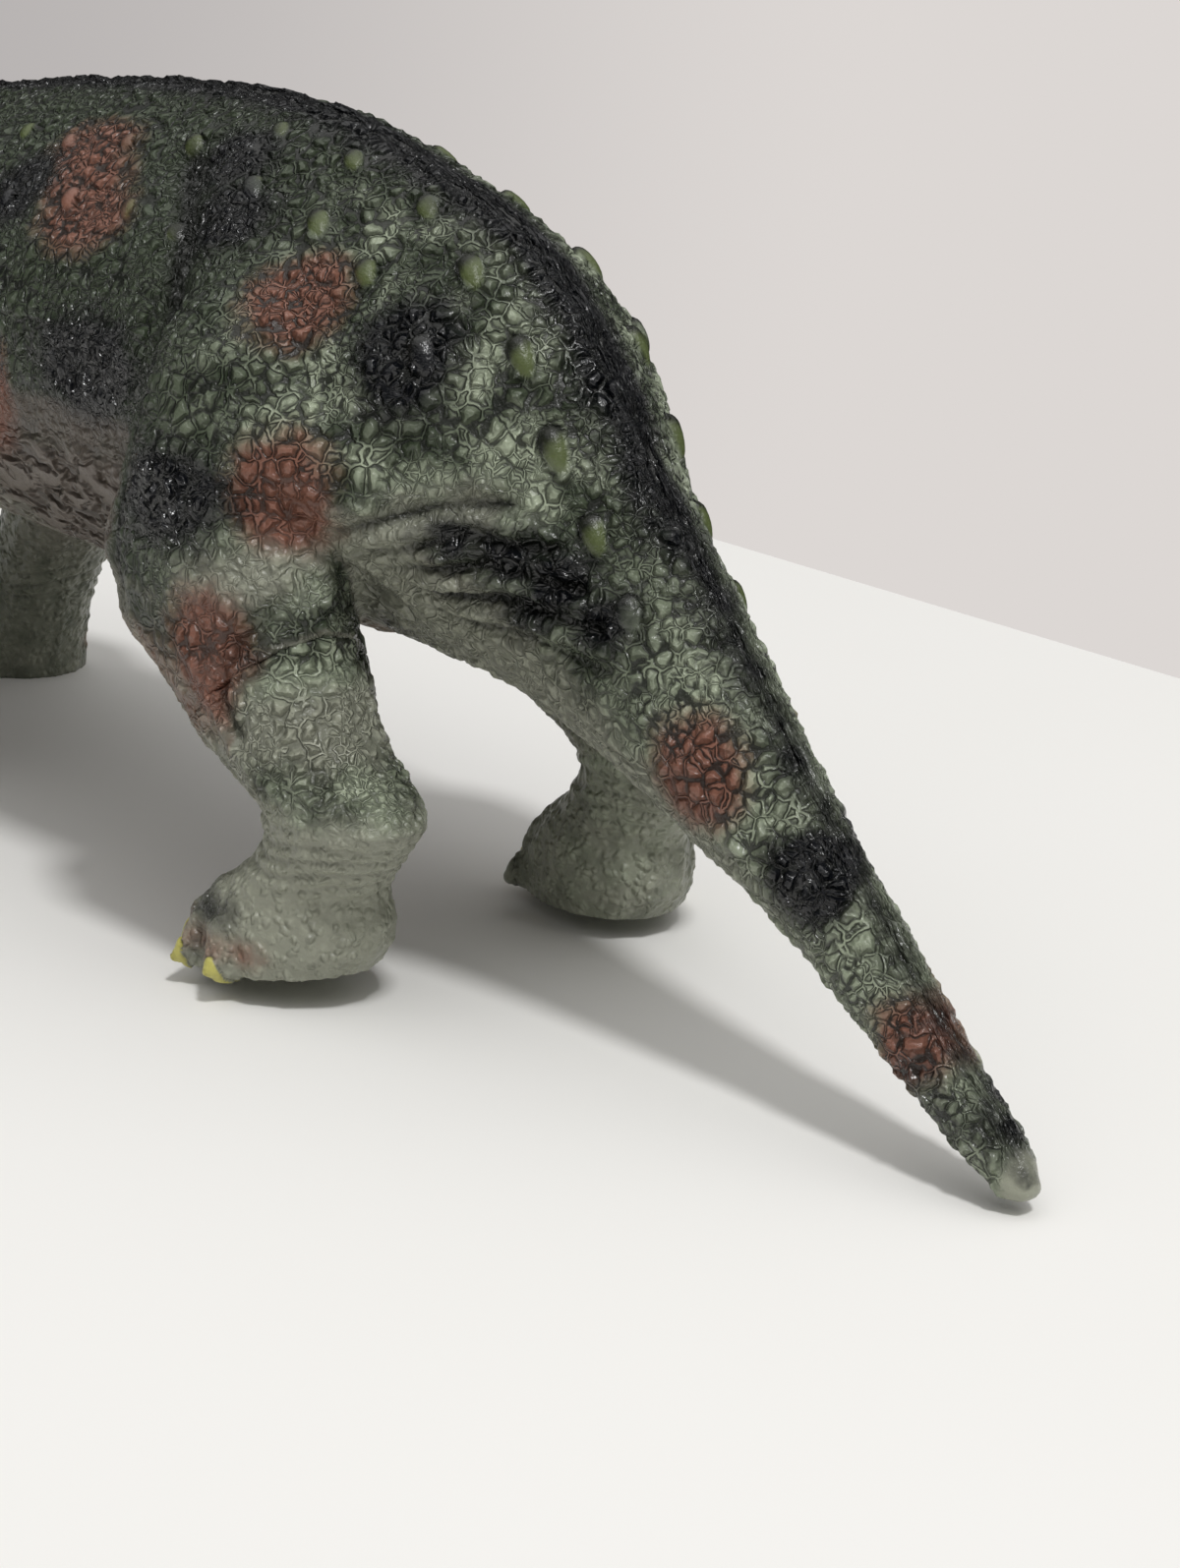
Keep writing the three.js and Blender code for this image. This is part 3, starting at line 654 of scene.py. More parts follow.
def clear_of(made, nodes, reach):
    """True for each point that is farther than the reach from the CAD nodes"""
    clear = np.ones(len(made.data.vertices), bool)
    for node in nodes:
        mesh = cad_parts[node].data
        corners = [v.co for v in mesh.vertices]
        tree = BVHTree.FromPolygons(corners, [tuple(p.vertices) for p in mesh.polygons])
        for vertex in made.data.vertices:
            if clear[vertex.index]:
                clear[vertex.index] = tree.find_nearest(vertex.co, reach)[0] is None
    return clear


def outer_points(made, fills):
    """True for each point that isn't on the skin's inner face, beside its stuffing"""
    return clear_of(made, fills, INNER_REACH)


def fewer_faces(made, free, ratio, factor=1.0):
    """Collapses faces down to a ratio, first at the free points"""
    group = made.vertex_groups.new(name="free")
    group.add([int(i) for i in np.flatnonzero(free)], 1.0, "REPLACE")
    layer = made.modifiers.new("Fewer faces", "DECIMATE")
    layer.vertex_group = group.name
    layer.vertex_group_factor = factor
    layer.ratio = ratio
    applied(made)
    made.vertex_groups.clear()
    return made


def cast_skin(node, name, size, fills):
    """The node's skin in even faces, with few of them on its inner side, and its outer points"""
    made = remeshed(copy_of(node, name), size)
    inner = ~outer_points(made, fills)
    fewer_faces(made, inner, 1 - 0.9 * inner.mean(), 10.0)
    return made, outer_points(made, fills)


def with_relief(made, settings):
    """Raises the cast forms, then brings the skin down to its budget"""
    layer = made.modifiers.new("Cast skin", "NODES")
    layer.node_group = bpy.data.node_groups.get("Cast skin") or relief_tree(settings)
    applied(made)
    made.data.calc_loop_triangles()
    count = len(made.data.loop_triangles)
    if count > MOST_FACES:
        fewer_faces(made, np.ones(len(made.data.vertices), bool), MOST_FACES / count)
    return smooth(made)


def finished(made, node, body, material):
    made.data.materials.clear()
    made.data.materials.append(material)
    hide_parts(node)
    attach(made, body)
    return made


def nearest_point(spots, place):
    return np.argmin(distance(spots, place))


def side_of(node):
    return 1 if node.endswith("left") else -1


def spot_mask(spots, table):
    """How far each point lies inside the nearest sprayed spot: 0.5 at its edge"""
    best = np.zeros(len(spots))
    for centre, reach in table:
        for side, shift in ((1, 0), (-1, SPOT_SHIFT)):
            middle = np.array([centre[0] + shift, centre[1] * side, centre[2]])
            away = distance(spots / reach, middle / reach)
            depth = (1 - away) * min(reach)
            best = most(best, np.clip(0.5 + depth / (2 * SPOT_SOFTNESS), 0, 1))
    return best


def leg_zones(spots):
    """Shares of the calf's green, the hock's band, the shin and the scales at each leg point"""
    x, _, z = spots.T
    hind = step(x, -55, -62)
    behind = np.interp(z, KNEE_HEIGHTS, KNEE_PLACES) - x
    calf = hind * step(behind, -0.5, 1.5) * step(z, 84, 79)
    green = calf * (step(z, 50, 66) * hump(behind, 2, 12) + 0.6 * hump(z, 44, 5) * step(x, -100, -116))
    band = hind * hump(z, 42, 6) * step(x, -106, -118)
    shin = hind * step(behind, 0.5, -1.0) * step(z, 40, 52) * step(z, 72, 62)
    scaled = hind * step(z, 36, 44)
    return green, band, shin, scaled


def paint(spots, normal):
    """Kinds of skin and sprayed coats by place, the same on every casting so that they meet"""
    x, y, z = spots.T
    up = normal[:, 2]
    calf, band, shin, scaled = leg_zones(spots)
    half = np.interp(x, STRIPE_PLACES, STRIPE_HALVES)
    stripe = np.clip(0.5 + (half - np.abs(y - STRIPE_MIDDLE)) / STRIPE_SOFTNESS, 0, 1)
    stripe = stripe * step(up, 0.05, 0.35) * step(x, 150, 140)
    leather_line = hump(y, 0, LEATHER_HALF) * step(up, 0.3, 0.6)
    ahead = step(x, -68, -58)
    shoulder = step(x, 50, 64) * step(np.abs(y), 40, 46)
    belly = ahead * (1 - shoulder) * step(z, 100, 86) * step(z, 56, 62)
    under = step(up, 0.05, -0.45) * step(z, 20, 50) * (1 - shoulder)
    front = x > 0
    leg = step(z, np.where(front, 94, 66), np.where(front, 54, 56))
    leg = leg * step(np.abs(y), 14, 18) * step(x, -152, -143)
    # Painted shade: the far hind leg and the front legs get less of the pale coat
    share = np.where(front, PALE_SHARES_WITH_SHADE[2], np.where(y > 0, *PALE_SHARES_WITH_SHADE[:2]))
    mirrored = np.column_stack((x, np.abs(y), z))
    groin = hump(distance_from_line(mirrored, np.array(GROIN_LINE, float)), 0, GROIN_HALF)
    tip = step(x, -254, -257)
    smooth_under = under * np.where(x < -105, 0.35, 0.85)
    leather = np.clip(most(belly, smooth_under, leg, 0.6 * groin), 0, 1)
    hip = step(x, -175, -130)
    legs = share * leg * (1 - 0.85 * calf) * (1 - 0.5 * band)
    return {
        # The black share on the calf's top is painted shade beside the knee fold
        "black": most(spot_mask(spots, BLACK_SPOTS), stripe, 0.38 * calf),
        "brown": most(spot_mask(spots, BROWN_SPOTS), 0.5 * shin),
        "belly": most(belly, under * hip, 0.55 * groin),
        "pale": most(legs, 0.85 * under * (x < -60), 0.8 * groin, tip),
        "pebble": most(1 - leather, 0.8 * scaled * leg) * (1 - tip),
        "wrinkle": belly,
        "spine": leather_line,
        "bare": most(0.35 * leg * (1 - scaled), tip),
    }


def boss_shape(offset, out, side, long_half, short_half):
    """Height share of a teardrop boss at each offset, its cover, and the painted shade on its upper
    front and round its edge
    """
    down = BOSS_DOWN - out * (out @ BOSS_DOWN)
    down /= np.linalg.norm(down)
    along = offset @ down / long_half
    across = offset @ np.cross(out, down) / short_half
    peak = -0.3
    tail = (along - peak) / np.where(along < peak, 1 + peak, 1.25 - peak)
    away = np.sqrt(tail**2 + across**2)
    front = offset @ np.multiply(BOSS_FRONT, (1, side, 1)) / short_half
    shade = step(away, 1.4, 1.15) * step(front, -0.1, 0.55)
    shade = most(shade, 0.8 * hump(away, 1.2, 0.14))
    return np.clip(1 - away**2.2, 0, 1) ** 0.6, step(1.1 - away, 0, 0.25), shade


def raise_bosses(spots, normal, outer, rise):
    """Rows of teardrop bosses along both flanks. Gives the points, the bosses and their painted shade
    """
    cover = np.zeros(len(spots))
    rings = np.zeros(len(spots))
    lifted = spots.copy()
    skin = np.flatnonzero(outer)
    for place, long_half, short_half, height in BOSSES:
        for side in (1, -1):
            middle = skin[nearest_point(spots[skin], np.multiply(place, (1, side, 1)))]
            out = normal[middle]
            offset = spots - spots[middle]
            close = outer & (distance(spots, spots[middle]) < 3 * long_half)
            dome, lid, ring = boss_shape(offset[close], out, side, long_half, short_half)
            lifted[close] += out * (rise * height * dome)[:, None]
            cover[close] = most(cover[close], lid)
            rings[close] = most(rings[close], ring)
    return lifted, cover, rings


def refine_bosses(made):
    """Finer faces round each boss, so that its edge is round"""
    bm = bmesh.new()
    bm.from_mesh(made.data)
    spots = np.array([v.co for v in bm.verts]) / MM
    wanted = np.zeros(len(spots), bool)
    for place, long_half, *_ in BOSSES:
        for side in (1, -1):
            middle = spots[nearest_point(spots, np.multiply(place, (1, side, 1)))]
            wanted |= distance(spots, middle) < 1.5 * long_half
    bm.verts.ensure_lookup_table()
    edges = [e for e in bm.edges if wanted[e.verts[0].index] and wanted[e.verts[1].index]]
    bmesh.ops.subdivide_edges(bm, edges=edges, cuts=1, use_grid_fill=True)
    bm.to_mesh(made.data)
    bm.free()


def distance_from_line(spots, path):
    best = np.full(len(spots), np.inf)
    for a, b in zip(path[:-1], path[1:]):
        reach = b - a
        share = np.clip(((spots - a) @ reach) / max(reach @ reach, 1e-6), 0, 1)
        best = np.minimum(best, distance(spots, a + share[:, None] * reach))
    return best


def on_skin(line, side, skin_spots, snap):
    """A line's points and the middles between them, each moved to the skin if it is that close"""
    path = np.array(line, float) * (1, side, 1)
    halves = (path[:-1] + path[1:]) / 2
    full = np.insert(path, range(1, len(path)), halves, axis=0)
    nearest = np.array([skin_spots[nearest_point(skin_spots, point)] for point in full])
    return np.where((distance(nearest, full) < snap)[:, None], nearest, full)


def cut_folds(spots, normal, outer, folds, snap=SNAP_REACH):
    """Presses soft folds into both sides of the skin, and gives the points and the folds' depth"""
    depth = np.zeros(len(spots))
    skin_spots = spots[outer]
    for line, width, deep in folds:
        for side in (1, -1):
            away = distance_from_line(spots, on_skin(line, side, skin_spots, snap)) / width
            depth += deep * (hump(away, 0, 1) - 0.35 * hump(away, 2, 1))
    depth *= outer
    return spots - normal * depth[:, None], depth


def make_body(settings):
    """Body casting with its bosses and folds, scales and paint"""
    fills = ("torso_fill", "tail_fill")
    made, outer = cast_skin("body_skin", "body_vinyl_skin", BODY_VOXEL, fills)
    spots, edges = points_of(made), edges_of(made)
    x, _, z = spots.T
    loose = step(x, COLLAR_PLACE, COLLAR_PLACE - 4) * clear_of(made, LEGS, SEAM_REACH)
    spots = relaxed(spots, edges, outer * loose, 40)
    hips = outer * (x < -55) * (x > -165) * (z > 72) * (z < 138)
    shoulders = outer * (x > 60) * (x < 130) * (z > 62) * (z < 135)
    spots = relaxed(spots, edges, most(hips, shoulders).astype(float), 25, 0.5, -0.3)
    move_points(made, spots)
    refine_bosses(made)
    outer = outer_points(made, fills)
    seam = clear_of(made, LEGS, SEAM_REACH)
    spots = points_of(made)
    normal = normals_of(made)
    coats = paint(spots, normal)
    spots, knee = cut_folds(spots, normal, outer, KNEE_FOLD, 0)
    spots, depth = cut_folds(spots, normal, outer, FOLDS)
    depth = depth + knee
    coats["pebble"] = coats["pebble"] * (1 - 0.3 * np.clip(np.abs(depth), 0, 1))
    spots = spots + normal * (BODY_LIP * outer * ~seam)[:, None]
    spots, cover, rings = raise_bosses(spots, normal, outer, settings.boss_rise)
    move_points(made, spots)
    plain = (coats["black"] < 0.5) * (coats["brown"] < 0.5)
    coats["bare"] = most(coats["bare"], cover)
    # Painted shade in the folds and on the bosses' upper fronts and edges
    crease = most(rings, (depth - 0.4) * (coats["wrinkle"] < 0.5))
    store(made, outer=outer * seam * (1 - cover), olive=0.8 * cover * plain, crease=crease, **coats)
    made = with_relief(made, settings)
    finished(made, "body_skin", "figure", skin_vinyl(settings))


def toe_forms(spots, node, settings):
    """Shares of claw, of painted claw, of toe lobe and of the gap between toes at each point, and
    the foot's middle. The innermost toe's claw isn't painted"""
    toes, middle_x = LEGS[node]
    side = side_of(node)
    low = spots[:, 2].min()
    foot = spots[:, 2] < low + FOOT_HEIGHT
    y = spots[foot, 1]
    middle = np.array([middle_x, (y.min() + y.max()) / 2])
    turn = np.arctan2(spots[:, 1] - middle[1], spots[:, 0] - middle[0])
    rise = (spots[:, 2] - low - CLAW_HEIGHT) / (settings.claw_height / MM / 2)
    claws, lobes, gaps = np.zeros((3, len(spots)))
    painted = np.zeros(len(spots), bool)
    for degrees in toes:
        heading = math.radians(degrees) * side
        way = np.array([math.cos(heading), math.sin(heading)])
        reach = np.where(foot, (spots[:, :2] - middle) @ way, -np.inf)
        offset = spots[:, :2] - spots[np.argmax(reach), :2]
        across = offset @ np.array([-way[1], way[0]]) / (settings.claw_width / MM / 2)
        near = offset @ way > -CLAW_REACH
        oval = 1 - across**2 - rise**2
        claws = most(claws, np.clip(0.5 + oval, 0, 1) * near)
        painted |= (oval > -0.5) & near & (degrees > toes[0])
        apart = np.abs((turn - heading + math.pi) % (2 * math.pi) - math.pi)
        lobes = most(lobes, hump(apart, 0, TOE_HALF))
        beside = step(apart, TOE_HALF, 2 * TOE_HALF) * step(apart, 3 * TOE_HALF, 2 * TOE_HALF)
        gaps = most(gaps, beside)
    inner, last = (math.radians(degrees) for degrees in (toes[0], toes[-1]))
    gaps = gaps * (1 - lobes) * (turn * side > inner) * (turn * side < last)
    return claws, painted, lobes, gaps, middle


def make_leg(settings, node):
    """One leg casting with its lobed toes and claws, and wrinkles round the ankle"""
    made, outer = cast_skin(node, node + "_vinyl", LEG_VOXEL, (node + "_fill",))
    spots = points_of(made)
    claws, painted, lobes, gaps, middle = toe_forms(spots, node, settings)
    firm = np.clip(claws * 2, 0, 1)
    height = spots[:, 2] - spots[:, 2].min()
    seam = clear_of(made, ("body_skin",), SEAM_REACH)
    weight = outer * seam * (1 - firm) * step(height, 0.2, 2.5)
    spots = evened(made, weight * (1 - 0.85 * step(height, 17, 10)), 50)
    x, y, _ = spots.T
    normal = normals_of(made)
    coats = paint(spots, normal)
    spots, depth = cut_folds(spots, normal, outer, KNEE_FOLD, 0)
    ankle = hump(height, ANKLE_HEIGHT, 9) * (1 - firm)
    rings = np.sin(height * 2.0 + 1.7 * np.sin(x * 0.2 + y * 0.11) + y * 0.16)
    turn = np.arctan2(y - middle[1], x - middle[0])
    foot = step(height, 22, 13) * step(height, 1.5, 5) * (1 - firm)
    lines = np.sin(turn * 31 + 3 * np.sin(height * 0.45 + turn * 4)) * (0.5 + 0.5 * np.sin(turn * 7))
    reach = np.hypot(x - middle[0], y - middle[1])
    toes = step(reach, 7, 13) * step(height, 17, 9) * step(height, 0.5, 3)
    toe_push = (settings.toe_rise * lobes - settings.toe_gap * gaps) / MM
    push = WRINKLE_RISE * rings * ankle + LINE_RISE * lines * foot
    push = push + toe_push * toes * (1 - firm) + LEG_LIP * ~seam
    push = push + settings.claw_rise / MM * np.sqrt(claws) * (claws > 0.5)
    turn = turn * side_of(node)
    ahead = step(np.abs(turn - 0.7), 1.7, 1.2)
    instep = ahead * hump(height, INSTEP_HEIGHT, 4) * (reach > 5)
    outward = step(np.abs(turn - 1.0), 1.9, 1.3)
    knuckle = outward * hump(height, KNUCKLE_HEIGHT, 3.5) * (reach > 7)
    spots = spots + normal * (push * outer)[:, None]
    move_points(made, spots)
    # Painted shade in the ankle's wrinkles, the foot's lines, the gaps between the toes, round each
    # claw and in the knee fold
    hollow_shade = np.clip(-rings * ankle * 0.35, 0, 1) + np.clip(-lines * foot * 0.25, 0, 1)
    cuticle = hump(claws, 0.25, 0.2) * (claws > 0.02)
    hollow_shade = most(hollow_shade, 0.9 * gaps * toes, 0.7 * cuticle)
    coats["bare"] = most(coats["bare"], firm)
    coats["brown"] = most(coats["brown"], 0.55 * knuckle)
    # The instep is darkened partly by its own dark paint and partly as painted shade in the ankle's
    # front fold
    coats["black"] = most(coats["black"], 0.62 * instep)
    outer = outer * seam * (1 - firm) * step(height, 0.3, 2)
    store(made, outer=outer, claw=claws * painted, crease=most(hollow_shade, depth - 0.4), **coats)
    finished(with_relief(made, settings), node, "figure", skin_vinyl(settings))


def eye_socket(spots, side):
    """Height of the lids round an eye"""
    away = np.hypot(spots[:, 0] - EYE_PLACE[0], spots[:, 2] - EYE_PLACE[1])
    beside = (spots[:, 1] * side > 12).astype(float)
    upper = 1 + 0.5 * step(spots[:, 2], EYE_PLACE[1] - 1, EYE_PLACE[1] + 5)
    lid = LID_RISE * hump(away, LID_REACH, 1.5) - 0.5 * hump(away, LID_REACH + 3, 1.3)
    return beside * upper * lid


def make_head(settings):
    """Head casting with its beak, mouth, nostrils, lids and frill"""
    made, outer = cast_skin("head_skin", "head_vinyl_skin", HEAD_VOXEL, ("head_fill",))
    free = outer * step(points_of(made)[:, 0], COLLAR_PLACE + 2, COLLAR_PLACE + 6)
    spots = evened(made, free, 40)
    normal = normals_of(made)
    coats = paint(spots, normal)
    x, y, z = spots.T
    spots, depth = cut_folds(spots, normal, free > 0.5, HEAD_FOLDS)
    raised = eye_socket(spots, 1) + eye_socket(spots, -1)
    place, reach, deep = NOSTRIL
    for side in (1, -1):
        away = distance(spots, np.multiply(place, (1, side, 1)))
        pit = deep * hump(away, 0, reach)
        raised = raised - pit + 0.5 * hump(away, 1.7 * reach, 0.8)
        depth = most(depth, pit)
    frill = step(np.hypot(y, z - FRILL_HEIGHT), FRILL_REACH, FRILL_REACH + 7)
    turn = np.arctan2(z - FRILL_HEIGHT, y)
    knobs = frill * np.clip(np.cos(turn * 14), 0, 1)
    raised = raised + KNOB_RISE * knobs
    move_points(made, spots + normal * (raised * free)[:, None])
    beak = step(x, BEAK_PLACE, BEAK_PLACE + 9)
    jaw = step(z, 96, 88) * (1 - beak)
    coats["bare"] = most(coats["bare"], beak, 0.6 * knobs)
    coats["belly"] = most(jaw * step(x, 150, 170), coats["belly"]) * (1 - beak)
    coats["pebble"] = most(1 - jaw, 0.4) * (1 - beak)
    coats["wrinkle"] = np.zeros(len(spots))
    coats["pale"] = beak * 0.5
    # Painted shade in the folds, the nostrils and between the frill's knobs
    crease = most(depth - 0.35, 0.5 * frill * (1 - knobs) * step(knobs, 0.2, 0))
    olive = most(0.6 * beak, 0.8 * knobs)
    store(made, outer=free * (1 - beak), olive=olive, crease=crease, **coats)
    finished(with_relief(made, settings), "head_skin", "head", skin_vinyl(settings))


def horn_look(tree, where, settings):
    """Harder cast vinyl, ivory with brown grain and a brown root, and painted shade in the grooves
    between faint growth rings
    """
    along = attribute(tree, "along")
    grain = noise(tree, stretched(tree, where, 1.0, 1.0, 4.0), 1.2, 4.0, 0.6)
    share = ramp(tree, grain, 0.3, 0.75)
    colour = mixed(tree, share, settings.horn_ivory, settings.horn_brown)
    root = ramp(tree, along, 0.0, 0.35, 0.75, 0.0)
    colour = mixed(tree, root, colour, settings.horn_brown)
    shade_share = product(tree, attribute(tree, "ring"), ramp(tree, along, 0.3, 0.9, 0.35, 0.08))
    colour = mixed(tree, shade_share, colour, settings.painted_shade_dark)
    return colour, 0.36, product(tree, grain, 0.25), {"IOR": 1.5}


def make_horns(settings):
    """Brow horns and nose horn with growth rings"""
    material = new_material("Sprayed vinyl horn", horn_look, settings)
    for node in ("brow_horn_left", "brow_horn_right", "nose_horn"):
        made = remeshed(copy_of(node, node + "_vinyl"), HORN_VOXEL)
        spots = evened(made, 1.0, 25)
        low, high = (np.array(corner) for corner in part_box(node))
        axis = (high - low) * (1, 0, 1)
        along = spots @ (axis / np.linalg.norm(axis))
        share = (along - along.min()) / (along.max() - along.min())
        wave = np.sin(along * 2.3 + 0.6 * np.sin(along * 0.7))
        push = settings.ring_rise / MM * wave * step(1 - share, 0.07, 0.3)
        move_points(made, spots + normals_of(made) * push[:, None])
        # The ring share marks the grooves between the growth rings, where painted shade goes
        store(made, along=share, ring=step(wave, -0.2, -0.9))
        finished(smooth(made), node, "head", material)


def eye_look(tree, where, settings):
    """Gloss enamel on the eye: a black pupil in an amber iris with a dark rim"""
    place = add(tree, "ShaderNodeSeparateXYZ", {0: where}).outputs
    across = math_node(tree, "SUBTRACT", place[0], EYE_PLACE[0])
    rise = math_node(tree, "SUBTRACT", place[2], EYE_PLACE[1])
    squares = math_node(tree, "MULTIPLY_ADD", rise, rise, product(tree, across, across))
    away = math_node(tree, "SQRT", squares)
    spoke = ramp(tree, noise(tree, where, 0.7, 3.0), 0.35, 0.65)
    colour = mixed(tree, spoke, settings.iris_brown, settings.iris_amber)
    pupil = settings.pupil_width / MM / 2
    iris = settings.iris_width / MM / 2
    colour = mixed(tree, ramp(tree, away, pupil, pupil + 0.3), linear("#08070a"), colour)
    colour = mixed(tree, ramp(tree, away, iris - 0.5, iris), colour, linear("#17120e"))
    return colour, 0.08, None, {"IOR": 1.5, "Coat Weight": 1.0}


def make_eyes(settings):
    """Two glossy domed eyes"""
    material = new_material("Gloss enamel eye", eye_look, settings)
    for node in ("eye_left", "eye_right"):
        low, high = (Vector(corner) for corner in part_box(node))
        bm = bmesh.new()
        bmesh.ops.create_uvsphere(bm, u_segments=32, v_segments=20, radius=0.5)
        bmesh.ops.scale(bm, vec=high - low, verts=bm.verts)
        bmesh.ops.translate(bm, vec=(low + high) / 2, verts=bm.verts)
        made = smooth(from_bmesh(node + "_gloss", bm))
        finished(made, node, "head", material)


def plug_look(tree, where, settings):
    """Injection-moulded polyethylene with a fine matt texture and a scuffed sheen"""
    grain = noise(tree, where, 0.6, 2.0)
    scuff = ramp(tree, noise(tree, where, 5.0, 4.0, 0.7), 0.45, 0.7)
    dark = [channel * 0.8 for channel in settings.plug_grey[:3]] + [1.0]
    colour = mixed(tree, scuff, dark, settings.plug_grey)
    rough = math_node(tree, "MULTIPLY_ADD", scuff, 0.15, 0.42)
    return colour, rough, product(tree, grain, 0.05), {"IOR": 1.5}


def rounded(bm, edges, offset):
    options = {"affect": "EDGES", "segments": 3, "profile": 0.5, "material": -1}
    bmesh.ops.bevel(bm, geom=edges, offset=offset, **options)


def make_plug(settings):
    """Belly plug with rounded rims and a grip bar across its face"""
    low, high = (Vector(corner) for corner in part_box("belly_plug"))
    made = copy_of("belly_plug", "belly_plug_moulding")
    bm = bmesh.new()
    bm.from_mesh(made.data)
    bmesh.ops.dissolve_limit(bm, angle_limit=math.radians(1), verts=bm.verts, edges=bm.edges)
    rounded(bm, [e for e in bm.edges if e.calc_face_angle(0) > math.radians(40)], 0.35 * MM)
    bar = set(bmesh.ops.create_cube(bm, size=1.0)["verts"])
    size = (0.55 * (high.x - low.x), 2.4 * MM, 1.6 * MM)
    middle = Vector(((low.x + high.x) / 2, 0, low.z - 0.3 * MM))
    bmesh.ops.scale(bm, vec=size, verts=list(bar))
    bmesh.ops.translate(bm, vec=middle, verts=list(bar))
    rounded(bm, [edge for edge in bm.edges if bar.issuperset(edge.verts)], 0.4 * MM)
    bm.to_mesh(made.data)
    bm.free()
    material = new_material("Moulded polyethylene plug", plug_look, settings)
    finished(made, "belly_plug", "figure", material)


def fibre_look(tree, where, settings):
    """Polyester fibre wadding, white and matt, with fine tangled strands"""
    strand = noise(tree, warped(tree, where, 3.0, 4.0), 0.9, 4.0, 0.7)
    colour = mixed(tree, strand, settings.fibre_shade, settings.fibre_white)
    return colour, 0.95, product(tree, strand, 0.6), {"Sheen Weight": 0.3}


def make_fills(settings):
    """Lumpy wadding inside each skin"""
    material = new_material("Polyester fibre wadding", fibre_look, settings)
    for node in sorted(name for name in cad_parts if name.endswith("fill")):
        made = remeshed(copy_of(node, node + "_wadding"), FILL_VOXEL)
        spots = evened(made, 1.0, 8)
        x, y, z = spots.T
        wave = np.sin(x * 0.9) * np.sin(y * 1.1 + 1) * np.sin(z * 0.8 + 2)
        move_points(made, spots + normals_of(made) * (0.4 * wave - 0.3)[:, None])
        body = "head" if node == "head_fill" else "figure"
        finished(smooth(made), node, body, material)


def table_look(tree, where, settings):
    """White laminate, nearly even, with a dull sheen"""
    colour = mixed(tree, noise(tree, where, 180.0), settings.table_shade, settings.table_white)
    return colour, 0.6, None, {"Specular IOR Level": 0.2}


def make_table(settings):
    bm = bmesh.new()
    bmesh.ops.create_grid(bm, x_segments=2, y_segments=2, size=3.0)
    first, second = (Vector(point) for point in TABLE_EDGE)
    across = Vector((0, 0, 1)).cross(second - first).normalized()
    geometry = bm.verts[:] + bm.edges[:] + bm.faces[:]
    bmesh.ops.bisect_plane(bm, geom=geometry, plane_co=first, plane_no=across, clear_outer=True)
    table = from_bmesh("table_top", bm)
    table.data.materials.append(new_material("White laminate", table_look, settings))


def make_room(settings):
    """Room light, bright overhead and from behind the toy, and the wall that the camera sees"""
    world = bpy.data.worlds.new("Room")
    bpy.context.scene.world = world
    world.use_nodes = True
    tree = world.node_tree
    tree.nodes.clear()
    way = add(tree, "ShaderNodeTexCoord").outputs["Generated"]
    parts = add(tree, "ShaderNodeSeparateXYZ", {0: way}).outputs
    light = ramp(tree, parts[2], 0.3, 1.0, settings.side_light, settings.top_light)
    light = math_node(tree, "ADD", light, ramp(tree, parts[0], -0.9, -0.2, settings.back_light, 0.0))
    room = add(tree, "ShaderNodeBackground", {"Color": linear("#f2f1ef"), "Strength": light})
    shade = ramp(tree, parts[0], 0.72, 0.92)
    colour = mixed(tree, shade, settings.wall_pale, settings.wall_shade)
    wall = add(tree, "ShaderNodeBackground", {"Color": colour, "Strength": 1.0})
    seen = add(tree, "ShaderNodeLightPath").outputs["Is Camera Ray"]
    links = {0: seen, 1: room.outputs[0], 2: wall.outputs[0]}
    both = add(tree, "ShaderNodeMixShader", links)
    add(tree, "ShaderNodeOutputWorld", {"Surface": both.outputs[0]})


def make_lamp(settings):
    back = Vector(LAMP_WAY).normalized()
    lamp = bpy.data.lights.new("Key", "AREA")
    lamp.shape = "DISK"
    lamp.size = LAMP_WIDTH
    lamp.energy = settings.key_light
    holder = bpy.data.objects.new("Key", lamp)
    bpy.context.scene.collection.objects.link(holder)
    holder.location = Vector(CAMERA_TARGET) + back * LAMP_DISTANCE
    holder.rotation_mode = "QUATERNION"
    holder.rotation_quaternion = back.to_track_quat("Z", "Y")


def make_camera():
    scene = bpy.context.scene
    lens = bpy.data.cameras.new("Camera")
    lens.sensor_width = SENSOR
    lens.lens = LENS
    lens.clip_start, lens.clip_end = 0.01, 20
    camera = bpy.data.objects.new("Camera", lens)
    scene.collection.objects.link(camera)
    turn, rise, roll = (math.radians(angle) for angle in CAMERA_TURNS)
    level = Quaternion((0, 0, 1), turn) @ Quaternion((1, 0, 0), math.pi / 2 - rise)
    camera.rotation_mode = "QUATERNION"
    camera.rotation_quaternion = level @ Quaternion((0, 0, 1), roll)
    camera.location = Vector(CAMERA_TARGET) + level @ Vector((0, 0, CAMERA_DISTANCE))
    scene.camera = camera
    scene.view_settings.view_transform = "Standard"


def colour(name, description, code):
    options = {"subtype": "COLOR", "size": 4, "min": 0, "max": 1}
    return FloatVectorProperty(name=name, description=description, default=linear(code), **options)


def number(name, description, default, unit="NONE"):
    return FloatProperty(name=name, description=description, default=default, min=0, unit=unit)


def length(name, description, default):
    """A length whose default is given in millimetres"""
    return number(name, description, default * MM, "LENGTH")


